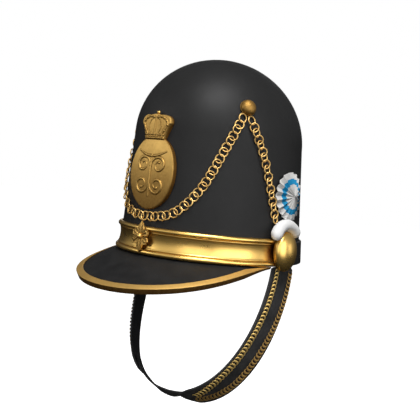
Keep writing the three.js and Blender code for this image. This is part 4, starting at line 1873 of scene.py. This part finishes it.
SWAG_RING = RingKind(
    finish=CHAIN_BRASS,
    radius=4.15,
    wire=0.68,
    pitch=6.25,
    jitter=1.5,
    shade=0.35,
    ring_sides=28,
    wire_sides=10,
    stagger=0.45,
    roll=15.0,
)
SEWN_RING = RingKind(
    finish=LIT_SEWN_BRASS,
    radius=2.45,
    wire=1.2,
    pitch=3.93,
    jitter=1.0,
    shade=0.1,
    ring_sides=22,
    wire_sides=8,
    flatness=0.32,
    tip=7.5,
    taper=0.93,
    widths=(0.95, 1.4),
)


def ring_row(path: Path, values: dict[str, object]) -> bpy.types.Mesh:
    """Lays a row of rings along a line.

    Args:
        path: Places along the line, and the outward direction at each.
        values: Inputs of the ring tree by name.

    Returns:
        The rings as a plain mesh.
    """
    places, outward = path
    mesh = bpy.data.meshes.new("ring_line")
    edges = [(k, k + 1) for k in range(len(places) - 1)]
    mesh.from_pydata((places * MM).tolist(), edges, [])
    directions = mesh.attributes.new("outward", "FLOAT_VECTOR", "POINT").data
    directions.foreach_set("vector", outward.ravel())
    line = bpy.data.objects.new("ring_line", mesh)
    bpy.context.scene.collection.objects.link(line)
    modifier = line.modifiers.new("rings", "NODES")
    modifier.node_group = RingTree.tree()
    for item in modifier.node_group.interface.items_tree:
        if item.in_out == "INPUT" and item.name in values:
            modifier[item.identifier] = values[item.name]
    graph = bpy.context.evaluated_depsgraph_get()
    made = bpy.data.meshes.new_from_object(line.evaluated_get(graph), depsgraph=graph)
    bpy.data.objects.remove(line)
    bpy.data.meshes.remove(mesh)
    return made


def ring_chain(name: str, node: str, paths: Sequence[Path], kind: RingKind, seed: int) -> Piece:
    """Makes a chain of rings along its lines.

    Args:
        name: Name of the piece.
        node: Solid that it stands for.
        paths: Places along each line, with the outward direction at each.
        kind: Rings that the chain is made of.
        seed: Fixed seed of the rings' small turns and shades.

    Returns:
        The chain as one plain mesh.
    """
    whole = bmesh.new()
    for row, path in enumerate(paths):
        part = ring_row(path, kind.values(float(lengths_along(path[0])[-1]), row, seed))
        whole.from_mesh(part)
        bpy.data.meshes.remove(part)
    mesh = bpy.data.meshes.new(name)
    whole.to_mesh(mesh)
    whole.free()
    mesh.shade_smooth()
    return dress(name, mesh, kind.finish, node)


@dataclass
class HungChains:
    """The ring chains hung across the front and down the sides, and the buttons that hold them.

    The swag has its angle on the wearer's left, its angle on the right, and its height.
    """

    form: CrownForm
    lift: float = CURVED_GAP + 1.7
    swag_steps: int = 160
    swag_seed: int = 3
    drop_steps: int = 60
    drop_seed: int = 7
    button_radius: float = 8.0
    button_rise: float = 7.5
    button_height: float = 147.6
    button_sides: int = 48
    button_foot: tuple[Pair, ...] = ((0.9, 0.0), (1.0, 0.25), (1.0, 0.9), (0.95, 1.3), (0.965, 1.7))
    button_dome: Pair = (0.97, 1.5)
    button_range: Pair = (8, 86)
    button_steps: int = 14
    button_patina: float = 0.62
    groove_patina: float = 0.85
    groove_rings: tuple[int, ...] = (4, 5)
    button_angles: dict[Side, float] = field(
        default_factory=lambda: {Side.LEFT: 59.7, Side.RIGHT: 64.5}
    )
    swag: tuple[Triple, ...] = (
        (0.0, 0.0, 36.6),
        (10.0, 10.0, 37.8),
        (19.3, 20.0, 42.4),
        (32.9, 37.0, 64.2),
        (47.0, 55.5, 108.2),
        (55.7, 60.5, 136.6),
    )
    drops: dict[Side, tuple[Pair, ...]] = field(
        default_factory=lambda: {
            Side.LEFT: ((61.9, 135.6), (71.8, 103.0), (82.6, 45.6)),
            Side.RIGHT: ((66.7, 135.6), (74.4, 103.0), (85.8, 36.8)),
        }
    )

    def path(self, rows: Sequence[Pair], steps: int) -> Path:
        """Lays a smooth line over the felt.

        Args:
            rows: Angles and heights that it passes through.
            steps: Number of steps along it.

        Returns:
            Places and outward directions along the line.
        """
        line = smooth_line(np.array(rows), steps)
        outward = np.array([self.form.axes(angle, z)[2] for angle, z in line])
        places = np.array([self.form.point(angle, z) for angle, z in line])
        return places + outward * self.lift, outward

    def front_chain(self) -> Piece:
        """Builds the swag under the plate.

        Returns:
            The chain.
        """
        left = [(near, z) for near, _, z in self.swag]
        right = [(-far, z) for _, far, z in self.swag[:0:-1]]
        paths = [self.path(right + left, self.swag_steps)]
        return ring_chain("front_chain_rings", "chain_front", paths, SWAG_RING, self.swag_seed)

    def side_chain(self, side: Side) -> Piece:
        """Builds the chain from a button down to the strap's boss.

        Args:
            side: Side of the head.

        Returns:
            The chain.
        """
        rows = [(side.value * angle, z) for angle, z in self.drops[side]]
        name, node = f"side_chain_rings_{side.label}", f"chain_side_{side.label}"
        paths = [self.path(rows, self.drop_steps)]
        return ring_chain(name, node, paths, SWAG_RING, self.drop_seed + side.value)

    def button(self, side: Side) -> Piece:
        """Builds a round button with a low collar.

        Args:
            side: Side of the head.

        Returns:
            The button.
        """
        reach, low = self.button_dome
        dome = bulge(reach, low, self.button_rise, self.button_range, self.button_steps)
        profile, radius = [*self.button_foot, *dome], self.button_radius
        rings = dome_rings(profile, self.button_sides, dome[-1][1] + TIP, radius, radius)
        tones = [np.full(len(ring), self.button_patina) for ring in rings]
        for number in self.groove_rings:
            tones[number][:] = self.groove_patina
        angle = side.value * self.button_angles[side]
        seated = self.form.seat_all(rings, angle, self.button_height, GAP)
        node = f"chain_button_{side.label}"
        return MeshDraft().loft(seated, tones, caps=False).to_piece(f"{node}_dome", ANTIQUE, node)

    def build(self) -> list[Piece]:
        """Builds the chains and the buttons.

        Returns:
            All the pieces.
        """
        pieces = [self.front_chain()]
        for side in Side:
            pieces += [self.button(side), self.side_chain(side)]
        return pieces


@dataclass
class Cockade:
    """The pleated ribbon rosette on the wearer's left."""

    form: CrownForm
    angle: float = 96.3
    height: float = 69.0
    radius: float = 23.9
    pleats: int = 18
    rim: float = 2.4
    rim_wave: float = 0.012
    fold: float = 2.8
    fold_start: float = 0.12
    fold_power: float = 0.8
    sway: float = 0.03
    puff: float = 0.5
    eye: float = 0.035
    apex: float = 7.0
    tip: float = 0.15
    bend: float = 115.0
    cloth: float = 0.55
    thread_spread: float = 1.3
    sewn_share: float = 0.52
    per_pleat: int = 8
    steps: int = 26
    sharp: float = 28

    def surface(self, drop: float) -> tuple[Rings, Rings, Rings]:
        """Lays the pleated face, or its back lowered by drop.

        Args:
            drop: Distance under the face.

        Returns:
            Rings from the middle to the rim, their share of the radius, and their place on the
            ribbon.
        """
        count = self.pleats * self.per_pleat
        turns = circle(count)
        phase = (np.arange(count) / self.per_pleat) % 1
        wave = 1 - 2 * np.abs(2 * phase - 1)
        along = turns * self.radius * self.thread_spread
        rings, shares, spots = [], [], []
        for share in np.linspace(self.eye, 1, self.steps):
            depth = self.fold * lerp(self.fold_start, 1, share**self.fold_power) * 0.5
            level = lerp(self.apex, self.rim, share) - drop + self.puff * math.sin(math.pi * share)
            reach = self.radius * share * (1 + self.rim_wave * share * wave)
            twist = turns + self.sway * share * np.sin(phase * 2 * math.pi)
            across, up = reach * np.cos(twist), reach * np.sin(twist)
            out = level + depth * wave - across**2 / (2 * self.bend)
            rings.append(np.column_stack([across, up, out]))
            shares.append(np.full(count, share))
            spots.append(np.column_stack([along, np.full(count, self.radius * share)]))
        return rings, shares, spots

    def build(self) -> list[Piece]:
        """Builds the rosette as a thin sheet of pleats.

        Returns:
            The rosette.
        """
        face, shares, spots = self.surface(0)
        back, back_shares, back_spots = self.surface(self.cloth)
        tip = np.array([[0, 0, face[0][:, 2].mean() + self.tip]])
        under = np.array([[0, 0, back[0][:, 2].mean()]])
        middle = np.zeros((1, 2))
        rings = [tip, *face, *back[::-1], under]
        draft = MeshDraft().loft(
            self.form.seat_all(rings, self.angle, self.height, GAP),
            [np.zeros(1), *shares, *back_shares[::-1], np.zeros(1)],
            [middle, *spots, *back_spots[::-1], middle],
            caps=False,
        )
        piece = draft.to_piece("cockade_rosette", RIBBON, "cockade", self.sharp)
        return [piece]


@dataclass
class WhiteRoll:
    """The padded white crescent over the left boss."""

    form: CrownForm
    angle: float = 89.0
    height: float = 14.9
    half_width: float = 16.4
    half_height: float = 19.4
    front_turn: float = -63.0
    back_turn: float = 56.0
    radius: float = 6.0
    round_from: float = 0.72
    round_to: float = 0.995
    front_lift: float = 2.0
    seam: float = 0.2
    seam_depth: float = 0.09
    pucker: float = 0.1
    puckers: Pair = (9, 14)
    steps: int = 72
    sides: int = 36
    sharp: float = 60

    def line(self) -> np.ndarray:
        """Bends the roll's middle line round the boss.

        Returns:
            Rows of across, up and out in the boss's own directions.
        """
        share = np.linspace(0, 1, self.steps + 1)
        turn = np.radians(lerp(self.front_turn, self.back_turn, share))
        x = (self.half_width + self.radius + GAP) * np.sin(turn)
        y = (self.half_height + self.radius + GAP) * np.cos(turn)
        out = self.radius + self.front_lift * np.minimum(2 * share - 1, 0) ** 2
        return np.column_stack([x, y, out])

    def build(self) -> list[Piece]:
        """Builds the roll with closed round ends and a seam along its inner side.

        Returns:
            The roll.
        """
        around = circle(self.sides)
        seam = bell(np.abs(around - math.pi), self.seam)
        line = self.line()
        runs = lengths_along(line)
        waves, climb = self.puckers
        rings, spots = [], []
        for i, (middle, run) in enumerate(zip(line, runs, strict=True)):
            share = 2 * i / self.steps - 1
            turn = math.radians(lerp(self.front_turn, self.back_turn, i / self.steps))
            into_end = (abs(share) - self.round_from) / (1 - self.round_from)
            into_end = min(max(into_end, 0), self.round_to)
            pucker = self.pucker * (1 - into_end) * np.sin(waves * around + climb * share) * seam
            full = self.radius * math.sqrt(1 - into_end**2)
            thick = full * (1 - self.seam_depth * seam) + pucker
            outward = (math.sin(turn), math.cos(turn), 0)
            ring = np.outer(thick * np.cos(around), outward)
            ring = middle + ring + np.outer(thick * np.sin(around), (0, 0, 1))
            rings.append(ring)
            spots.append(np.column_stack([np.full(self.sides, run), self.radius * around]))
        seated = self.form.seat_all(rings, self.angle, self.height, CURVED_GAP)
        draft = MeshDraft().loft(seated, [seam] * len(rings), spots)
        piece = draft.to_piece("white_cloth_roll", WHITE_CLOTH, "white_roll", self.sharp)
        return [piece]


@dataclass(frozen=True)
class StrapPath:
    """Middle line of the chin strap, from the left boss under the chin to the right boss."""

    half_span: float = 89.9
    drop: float = 140.4
    squareness: float = 2.53
    forward: float = 47.0
    sweep: float = 1.48
    root_y: float = 2.3
    root_z: float = -2.9
    rake: float = 0.89
    root_twist: float = 0.21
    added_twist: float = 0.26
    twist_from: float = -2.0
    untwist: float = 0.35
    near_end: float = 0.002
    probe: float = 1e-4
    samples: int = 4000

    def at(self, share: float) -> np.ndarray:
        """Gives the place at a share of the half turn under the chin.

        Args:
            share: Share of the half turn, from the left root.

        Returns:
            The place.
        """
        turn = math.pi * min(max(share, 0.0), 1.0)
        power = 2 / self.squareness
        down = abs(math.sin(turn)) ** power
        across = math.copysign(abs(math.cos(turn)) ** power, math.cos(turn))
        y = self.root_y - self.forward * down**self.sweep
        return np.array([self.half_span * across, y, self.root_z - self.drop * down])

    @cached_property
    def shares(self) -> np.ndarray:
        """Lists even shares of the half turn."""
        return np.linspace(0, 1, self.samples + 1)

    @cached_property
    def lengths(self) -> np.ndarray:
        """Lists the length from the left root to each share."""
        return lengths_along(np.array([self.at(share) for share in self.shares]))

    def share_at(self, part: float) -> float:
        """Gives the share of the half turn at a part of the whole length."""
        return float(np.interp(part * self.lengths[-1], self.lengths, self.shares))

    def spot(self, distance: float, wall_lean: float, roll: float = 0.0) -> np.ndarray:
        """Finds the strap's lie at a distance from its left root.

        Args:
            distance: Distance along the strap, or less than 0 up the crown's side.
            wall_lean: Lean of the crown's side.
            roll: Turn of the outer face toward the front.

        Returns:
            Rows of middle, across toward the back, and out.
        """
        part = min(max(distance / self.lengths[-1], 0), 1)
        middle = self.at(self.share_at(part))
        inner = self.share_at(min(max(part, self.near_end), 1 - self.near_end))
        along = unit(self.at(inner + self.probe) - self.at(inner - self.probe))
        depth = self.root_z - middle[2]
        rise = self.forward * self.sweep / self.drop * (depth / self.drop) ** (self.sweep - 1)
        rake = self.rake * math.atan(rise) + roll
        sideways = min(max(middle[0] / (self.untwist * self.half_span), -1), 1)
        root_twist = self.root_twist if distance > self.twist_from else 0.0
        twist = (root_twist + self.added_twist * depth / self.drop) * sideways
        if distance < 0:
            along = unit(np.array([wall_lean, 0, -1]))
            middle = middle + along * distance
        flat = math.cos(twist)
        across = np.array([math.sin(twist), flat * math.cos(rake), -flat * math.sin(rake)])
        across = unit(across - along * (across @ along))
        return np.array([middle, across, np.cross(along, across)])


@dataclass
class ChinStrap:
    """The two chain-edged lappets, the strap between them, and the bosses that hold them.

    The tongue has distances and widths, and the tip has distances from its end and widths.
    """

    form: CrownForm
    path: StrapPath = field(default_factory=StrapPath)
    thickness: float = 2.0
    corner: float = 0.75
    corner_share: float = 0.9
    corner_steps: int = 5
    face_shares: tuple[float, ...] = (-0.7, -0.35, 0.0, 0.35, 0.7)
    worn_share: float = 0.6
    edge_wear: float = 0.2
    face_wear: float = 0.1
    inner_wear: float = 0.0
    step: float = 2.0
    lappet_length: dict[Side, float] = field(
        default_factory=lambda: {Side.LEFT: 178.0, Side.RIGHT: 150.0}
    )
    tongue: tuple[Pair, ...] = ((-14.0, 10.0), (-12.0, 13.0), (-2.9, 13.0), (-2.5, 28.6))
    tip: tuple[Pair, ...] = ((0.0, 14.6), (6.0, 23.4), (14.0, 28.6))
    tip_steps: int = 22
    tip_round: float = 1.2
    row_spread: tuple[Pair, ...] = ((-8.0, -9.6), (10.3, 7.8))
    row_settle: Pair = (20.0, 92.0)
    row_start: float = 2.6
    row_stop: float = 18.0
    row_tip: float = 3.4
    row_meet: float = 42.0
    row_step: float = 1.0
    row_seed: int = 40
    chin_from: float = 150.0
    chin_to: float = 262.0
    chin_width: float = 14.0
    chin_thickness: float = 1.6
    chin_roll: float = 0.28
    chin_sag: float = 2.2
    chin_ease: tuple[float, float, float, float] = (180.0, 196.0, 202.0, 236.0)
    boss_angle: float = 89.0
    boss_height: float = 14.9
    boss_half_width: float = 16.4
    boss_half_height: float = 19.4
    boss_rise: float = 11.0
    boss_spring: float = 2.25
    boss_lift: float = CURVED_GAP + 1.3 + 2.4 + GAP
    boss_foot: tuple[Pair, ...] = ((0.97, 0.0), (1.0, 0.3), (1.0, 1.6))
    boss_range: Pair = (0, 87)
    boss_steps: int = 22
    boss_sides: int = 72
    boss_patina: float = 0.7

    def spot(self, distance: float, side: Side, roll: float = 0.0) -> np.ndarray:
        """Finds the strap's lie on a side, as rows of middle, across and out."""
        lean = self.form.half_width * (1 - self.form.taper) / self.form.shoulder
        return self.path.spot(distance, lean, roll) * (side.value, 1, 1)

    def ease(self, distance: float) -> float:
        """Gives the share of the chin strap's roll and sag, none beside the lappets."""
        leave, full, hold, meet = self.chin_ease
        return float(smooth_step(leave, full, distance) - smooth_step(hold, meet, distance))

    def section(self, width: float, thickness: float) -> tuple[np.ndarray, np.ndarray]:
        """Draws a strip's section with round edges.

        Args:
            width: Width of the strip.
            thickness: Thickness of the leather.

        Returns:
            Rows of across and out, and their wear.
        """
        reach, half = width / 2, thickness / 2
        bend = min(self.corner, half * self.corner_share)
        corner = arc(reach - bend, half - bend, bend, 90, 0, self.corner_steps)
        face = [(reach * share, half) for share in self.face_shares]
        rows = np.array(face + corner + [(across, -out) for across, out in reversed(corner)])
        flat = np.vstack([rows, -rows])
        wear = np.where(flat[:, 1] < 0, self.inner_wear, self.face_wear)
        edge = np.abs(flat[:, 0]) > reach - self.worn_share * bend
        return flat, np.where(edge, self.edge_wear, wear)

    def strip(
        self,
        rows: Sequence[Pair],
        thickness: float,
        side: Side,
        lift: float = 0.0,
        eased: bool = False,
    ) -> MeshDraft:
        """Lays a strip with round edges along the strap.

        Args:
            rows: Distances with the strip's width at each.
            thickness: Thickness of the leather.
            side: Side that it hangs on.
            lift: Distance of its middle from the strap's line.
            eased: Whether it rolls and sags between the lappets.

        Returns:
            The strip's draft.
        """
        rings, tones = [], []
        for distance, width in rows:
            ease = self.ease(distance) if eased else 0.0
            middle, across, out = self.spot(distance, side, self.chin_roll * ease)
            middle = middle + out * self.chin_sag * ease
            flat, wear = self.section(width, thickness)
            rings.append(middle + np.outer(flat[:, 0], across) + np.outer(flat[:, 1] + lift, out))
            tones.append(wear)
        return MeshDraft().loft(rings, tones)

    def lappet_rows(self, length: float) -> list[Pair]:
        """Lists a lappet's widths from its tongue to its tip.

        Args:
            length: Length of the lappet.

        Returns:
            Distances and widths.
        """
        before, widths = zip(*self.tip, strict=True)
        shoulder = length - before[-1]
        places = np.arange(0, shoulder, self.step)
        places = np.append(places, np.linspace(shoulder, length, self.tip_steps))
        body = [(float(d), float(np.interp(length - d, before, widths))) for d in places]
        body[-1] = (length, body[-1][1] - self.tip_round)
        return [*self.tongue, *body]

    def lappet(self, side: Side) -> Piece:
        """Builds a lappet."""
        draft = self.strip(self.lappet_rows(self.lappet_length[side]), self.thickness, side)
        return draft.to_piece(f"leather_lappet_{side.label}", LEATHER, f"lappet_{side.label}")

    def row_path(self, side: Side, spread: Pair) -> Path:
        """Lays the line of a sewn row of rings, drawing in to its twin near the tip.

        Args:
            side: Side that it hangs on.
            spread: Its distance from the lappet's middle near the boss and further down.

        Returns:
            Places and outward directions along the line.
        """
        end = self.lappet_length[side] - self.row_stop
        reach = SEWN_RING.radius + SEWN_RING.wire
        tipped = reach * math.sin(math.radians(SEWN_RING.tip + 2 * SEWN_RING.jitter))
        lift = self.thickness / 2 + GAP + SEWN_RING.wire * SEWN_RING.flatness + tipped
        places, outward = [], []
        for distance in np.arange(self.row_start, end + 0.1 * self.row_step, self.row_step):
            middle, across, out = self.spot(float(distance), side)
            meet = min((end - distance) / self.row_meet, 1)
            wide = lerp(*spread, float(smooth_step(*self.row_settle, distance)))
            close = math.copysign(self.row_tip, wide)
            offset = lerp(close, wide, math.sin(max(meet, 0) * math.pi / 2))
            places.append(middle + across * offset + out * lift)
            outward.append(out)
        return np.array(places), np.array(outward)

    def sewn_rows(self, side: Side) -> Piece:
        """Builds the two rows of overlapping rings on a lappet.

        Args:
            side: Side that they hang on.

        Returns:
            Both rows as one piece.
        """
        paths = [self.row_path(side, spread) for spread in self.row_spread]
        name, node = f"sewn_rings_{side.label}", f"lappet_chain_{side.label}"
        return ring_chain(name, node, paths, SEWN_RING, self.row_seed + side.value)

    def chin(self) -> Piece:
        """Builds the plain strap that joins the lappets under the chin.

        Returns:
            The strap.
        """
        places = even_places(self.chin_from, self.chin_to, self.step)
        rows = [(float(place), self.chin_width) for place in places]
        inside = -(self.thickness / 2 + CURVED_GAP + self.chin_thickness / 2)
        draft = self.strip(rows, self.chin_thickness, Side.LEFT, inside, eased=True)
        return draft.to_piece("leather_chin_strap", LEATHER, "chin_strap")

    def boss(self, side: Side) -> Piece:
        """Builds an egg-shaped polished boss.

        Args:
            side: Side of the head.

        Returns:
            The boss.
        """
        dome = bulge(1.0, self.boss_spring, self.boss_rise, self.boss_range, self.boss_steps)
        profile, top = [*self.boss_foot, *dome], dome[-1][1] + TIP
        halves = (self.boss_half_width, self.boss_half_height)
        rings = dome_rings(profile, self.boss_sides, top, *halves)
        tones = [np.zeros(len(ring)) for ring in rings]
        for tone in tones[: len(self.boss_foot) + 1]:
            tone[:] = self.boss_patina
        angle = side.value * self.boss_angle
        seated = self.form.seat_all(rings, angle, self.boss_height, self.boss_lift)
        node = f"strap_boss_{side.label}"
        return MeshDraft().loft(seated, tones, caps=False).to_piece(f"{node}_dome", BRASS, node)

    def build(self) -> list[Piece]:
        """Builds the strap and what holds it.

        Returns:
            All the pieces.
        """
        pieces = []
        for side in Side:
            pieces += [self.boss(side), self.lappet(side), self.sewn_rows(side)]
        return [*pieces, self.chin()]


class Glow(Enum):
    """What a studio light adds to the helmet."""

    ALL = "light and mirrored light"
    GLOSS = "mirrored light only"
    SHADE = "plain light only"


@dataclass(frozen=True)
class SoftBox:
    """A square studio light, aimed at the helmet."""

    name: str
    place: Triple
    size: float
    power: float
    glow: Glow = Glow.ALL

    def build(self, target: Vector) -> None:
        """Hangs the light and turns it to the target.

        Args:
            target: Place that the light is aimed at.
        """
        lamp = bpy.data.lights.new(self.name, "AREA")
        lamp.shape = "SQUARE"
        lamp.size = self.size
        lamp.energy = self.power
        stand = bpy.data.objects.new(self.name, lamp)
        stand.visible_diffuse = self.glow is not Glow.GLOSS
        stand.visible_glossy = self.glow is not Glow.SHADE
        stand.location = self.place
        stand.rotation_euler = (target - Vector(self.place)).to_track_quat("-Z", "Y").to_euler()
        bpy.context.scene.collection.objects.link(stand)


@dataclass
class Studio:
    """The camera, the pale floor and the soft light, in metres."""

    eye: Triple = (0.4775, -0.5949, 0.0785)
    right: Triple = (0.7674, 0.6316, 0.11)
    up: Triple = (-0.1127, -0.0359, 0.993)
    back: Triple = (0.6312, -0.7744, 0.0436)
    lens: float = 61.8
    sensor: float = 36.0
    clip: Pair = (0.01, 60.0)
    floor_level: float = -0.32
    floor_reach: float = 9.0
    floor_sides: int = 96
    floor_tones: tuple[Colour, Colour] = ((0.9, 0.9, 0.9, 1.0), (0.93, 0.93, 0.93, 1.0))
    floor_blotch: float = 3.0
    floor_rough: float = 0.9
    floor_gloss: float = 0.1
    floor_glow: float = 0.95
    white: Colour = (1.0, 1.0, 1.0, 1.0)
    target: Triple = (0.0, 0.0, 0.06)
    boxes: tuple[SoftBox, ...] = (
        SoftBox("key_box", (0.62, -0.56, 1.42), 0.7, 27.0),
        SoftBox("front_box", (0.9, -1.25, 0.35), 0.9, 3.0),
        SoftBox("right_card", (1.5, -0.2, 0.36), 1.2, 10.0, Glow.GLOSS),
        SoftBox("left_card", (-1.0, -1.25, 0.5), 0.9, 4.0, Glow.GLOSS),
        SoftBox("side_card", (1.3, 1.0, 0.2), 0.5, 1.1, Glow.GLOSS),
        SoftBox("low_fill", (0.3, -1.1, -0.25), 0.6, 4.0, Glow.SHADE),
        SoftBox("back_box", (-1.0, 1.25, 0.42), 0.9, 1.6),
    )
    bright_side: Triple = (0.65, -0.76, 0.0)
    side_range: Pair = (0.02, 1.2)
    fill: float = 0.1
    room_stops: tuple[Pair, ...] = (
        (0.0, 0.05),
        (0.44, 0.09),
        (0.52, 0.32),
        (0.62, 0.75),
        (0.76, 0.6),
        (0.9, 0.3),
        (1.0, 0.25),
    )

    def camera(self) -> None:
        """Sets the camera at the photograph's view."""
        data = bpy.data.cameras.new("view")
        data.sensor_fit = "HORIZONTAL"
        data.sensor_width = self.sensor
        data.lens = self.lens
        data.clip_start, data.clip_end = self.clip
        camera = bpy.data.objects.new("view", data)
        turn = Matrix((self.right, self.up, self.back)).transposed()
        camera.matrix_world = Matrix.Translation(self.eye) @ turn.to_4x4()
        bpy.context.scene.collection.objects.link(camera)
        bpy.context.scene.camera = camera

    def world(self) -> None:
        """Surrounds the helmet with a white room that dims toward the ground in reflections."""
        world = bpy.data.worlds.new("studio")
        world.use_nodes = True
        bpy.context.scene.world = world
        tree = world.node_tree
        tree.nodes.clear()
        sketch = NodeSketch(tree)
        look = sketch.places("Generated")
        height = sketch.add("ShaderNodeSeparateXYZ", {0: look}).outputs[2]
        ramp = sketch.add("ShaderNodeValToRGB", {0: sketch.mask(height, -1.0, 1.0)})
        stops = ramp.color_ramp.elements
        while len(stops) < len(self.room_stops):
            stops.new(0.5)
        for stop, (at, value) in zip(stops, self.room_stops, strict=True):
            stop.position = at
            stop.color = (value, value, value, 1.0)
        inputs = {0: look, 1: self.bright_side}
        toward = sketch.add("ShaderNodeVectorMath", inputs, operation="DOT_PRODUCT")
        side = sketch.span(toward.outputs["Value"], self.side_range, -1.0, 1.0)
        room, soft, white = (
            sketch.out("ShaderNodeBackground", {"Color": colour, "Strength": strength})
            for colour, strength in (
                (ramp.outputs[0], side),
                (self.white, self.fill),
                (self.white, 1.0),
            )
        )
        path = sketch.add("ShaderNodeLightPath").outputs
        lit = sketch.out("ShaderNodeMixShader", {0: path["Is Glossy Ray"], 1: soft, 2: room})
        mixed = sketch.out("ShaderNodeMixShader", {0: path["Is Camera Ray"], 1: lit, 2: white})
        sketch.add("ShaderNodeOutputWorld", {0: mixed})

    def floor(self) -> None:
        """Lays a plain pale floor well below the strap."""
        turns = circle(self.floor_sides)
        ring = np.column_stack([np.cos(turns), np.sin(turns), 0 * turns]) * self.floor_reach
        mesh = bpy.data.meshes.new("pale_floor")
        corners = tuple(range(self.floor_sides))
        mesh.from_pydata((ring + (0, 0, self.floor_level)).tolist(), [], [corners])
        material = bpy.data.materials.new("pale_floor")
        material.use_nodes = True
        sketch = NodeSketch(material.node_tree)
        blotch = MOTTLE.put(sketch, sketch.places(), self.floor_blotch)[0]
        sketch.feed(sketch.shader["Base Color"], sketch.mix(blotch, *self.floor_tones))
        sketch.shader["Roughness"].default_value = self.floor_rough
        sketch.shader["Specular IOR Level"].default_value = self.floor_gloss
        sketch.shader["Emission Color"].default_value = self.white
        sketch.shader["Emission Strength"].default_value = self.floor_glow
        mesh.materials.append(material)
        floor = bpy.data.objects.new("pale_floor", mesh)
        floor.visible_glossy = floor.visible_diffuse = False
        bpy.context.scene.collection.objects.link(floor)

    def build(self) -> None:
        """Sets up the whole studio."""
        bpy.context.scene.view_settings.view_transform = "Standard"
        self.camera()
        self.world()
        self.floor()
        for box in self.boxes:
            box.build(Vector(self.target))


def main() -> None:
    """Builds the studio and each sub-assembly in order, and reports each piece."""
    logging.basicConfig(level=logging.INFO, format="%(name)s: %(message)s")
    form = CrownForm()
    Studio().build()
    assemblies = (
        FeltCrown(form),
        HeadBands(form),
        Peak(form),
        FrontPlate(form),
        BandFlower(form),
        HungChains(form),
        Cockade(form),
        WhiteRoll(form),
        ChinStrap(form),
    )
    for assembly in assemblies:
        for piece in assembly.build():
            LOG.info("%s: %d faces", piece.name, len(piece.data.polygons))


if __name__ == "__main__":
    main()
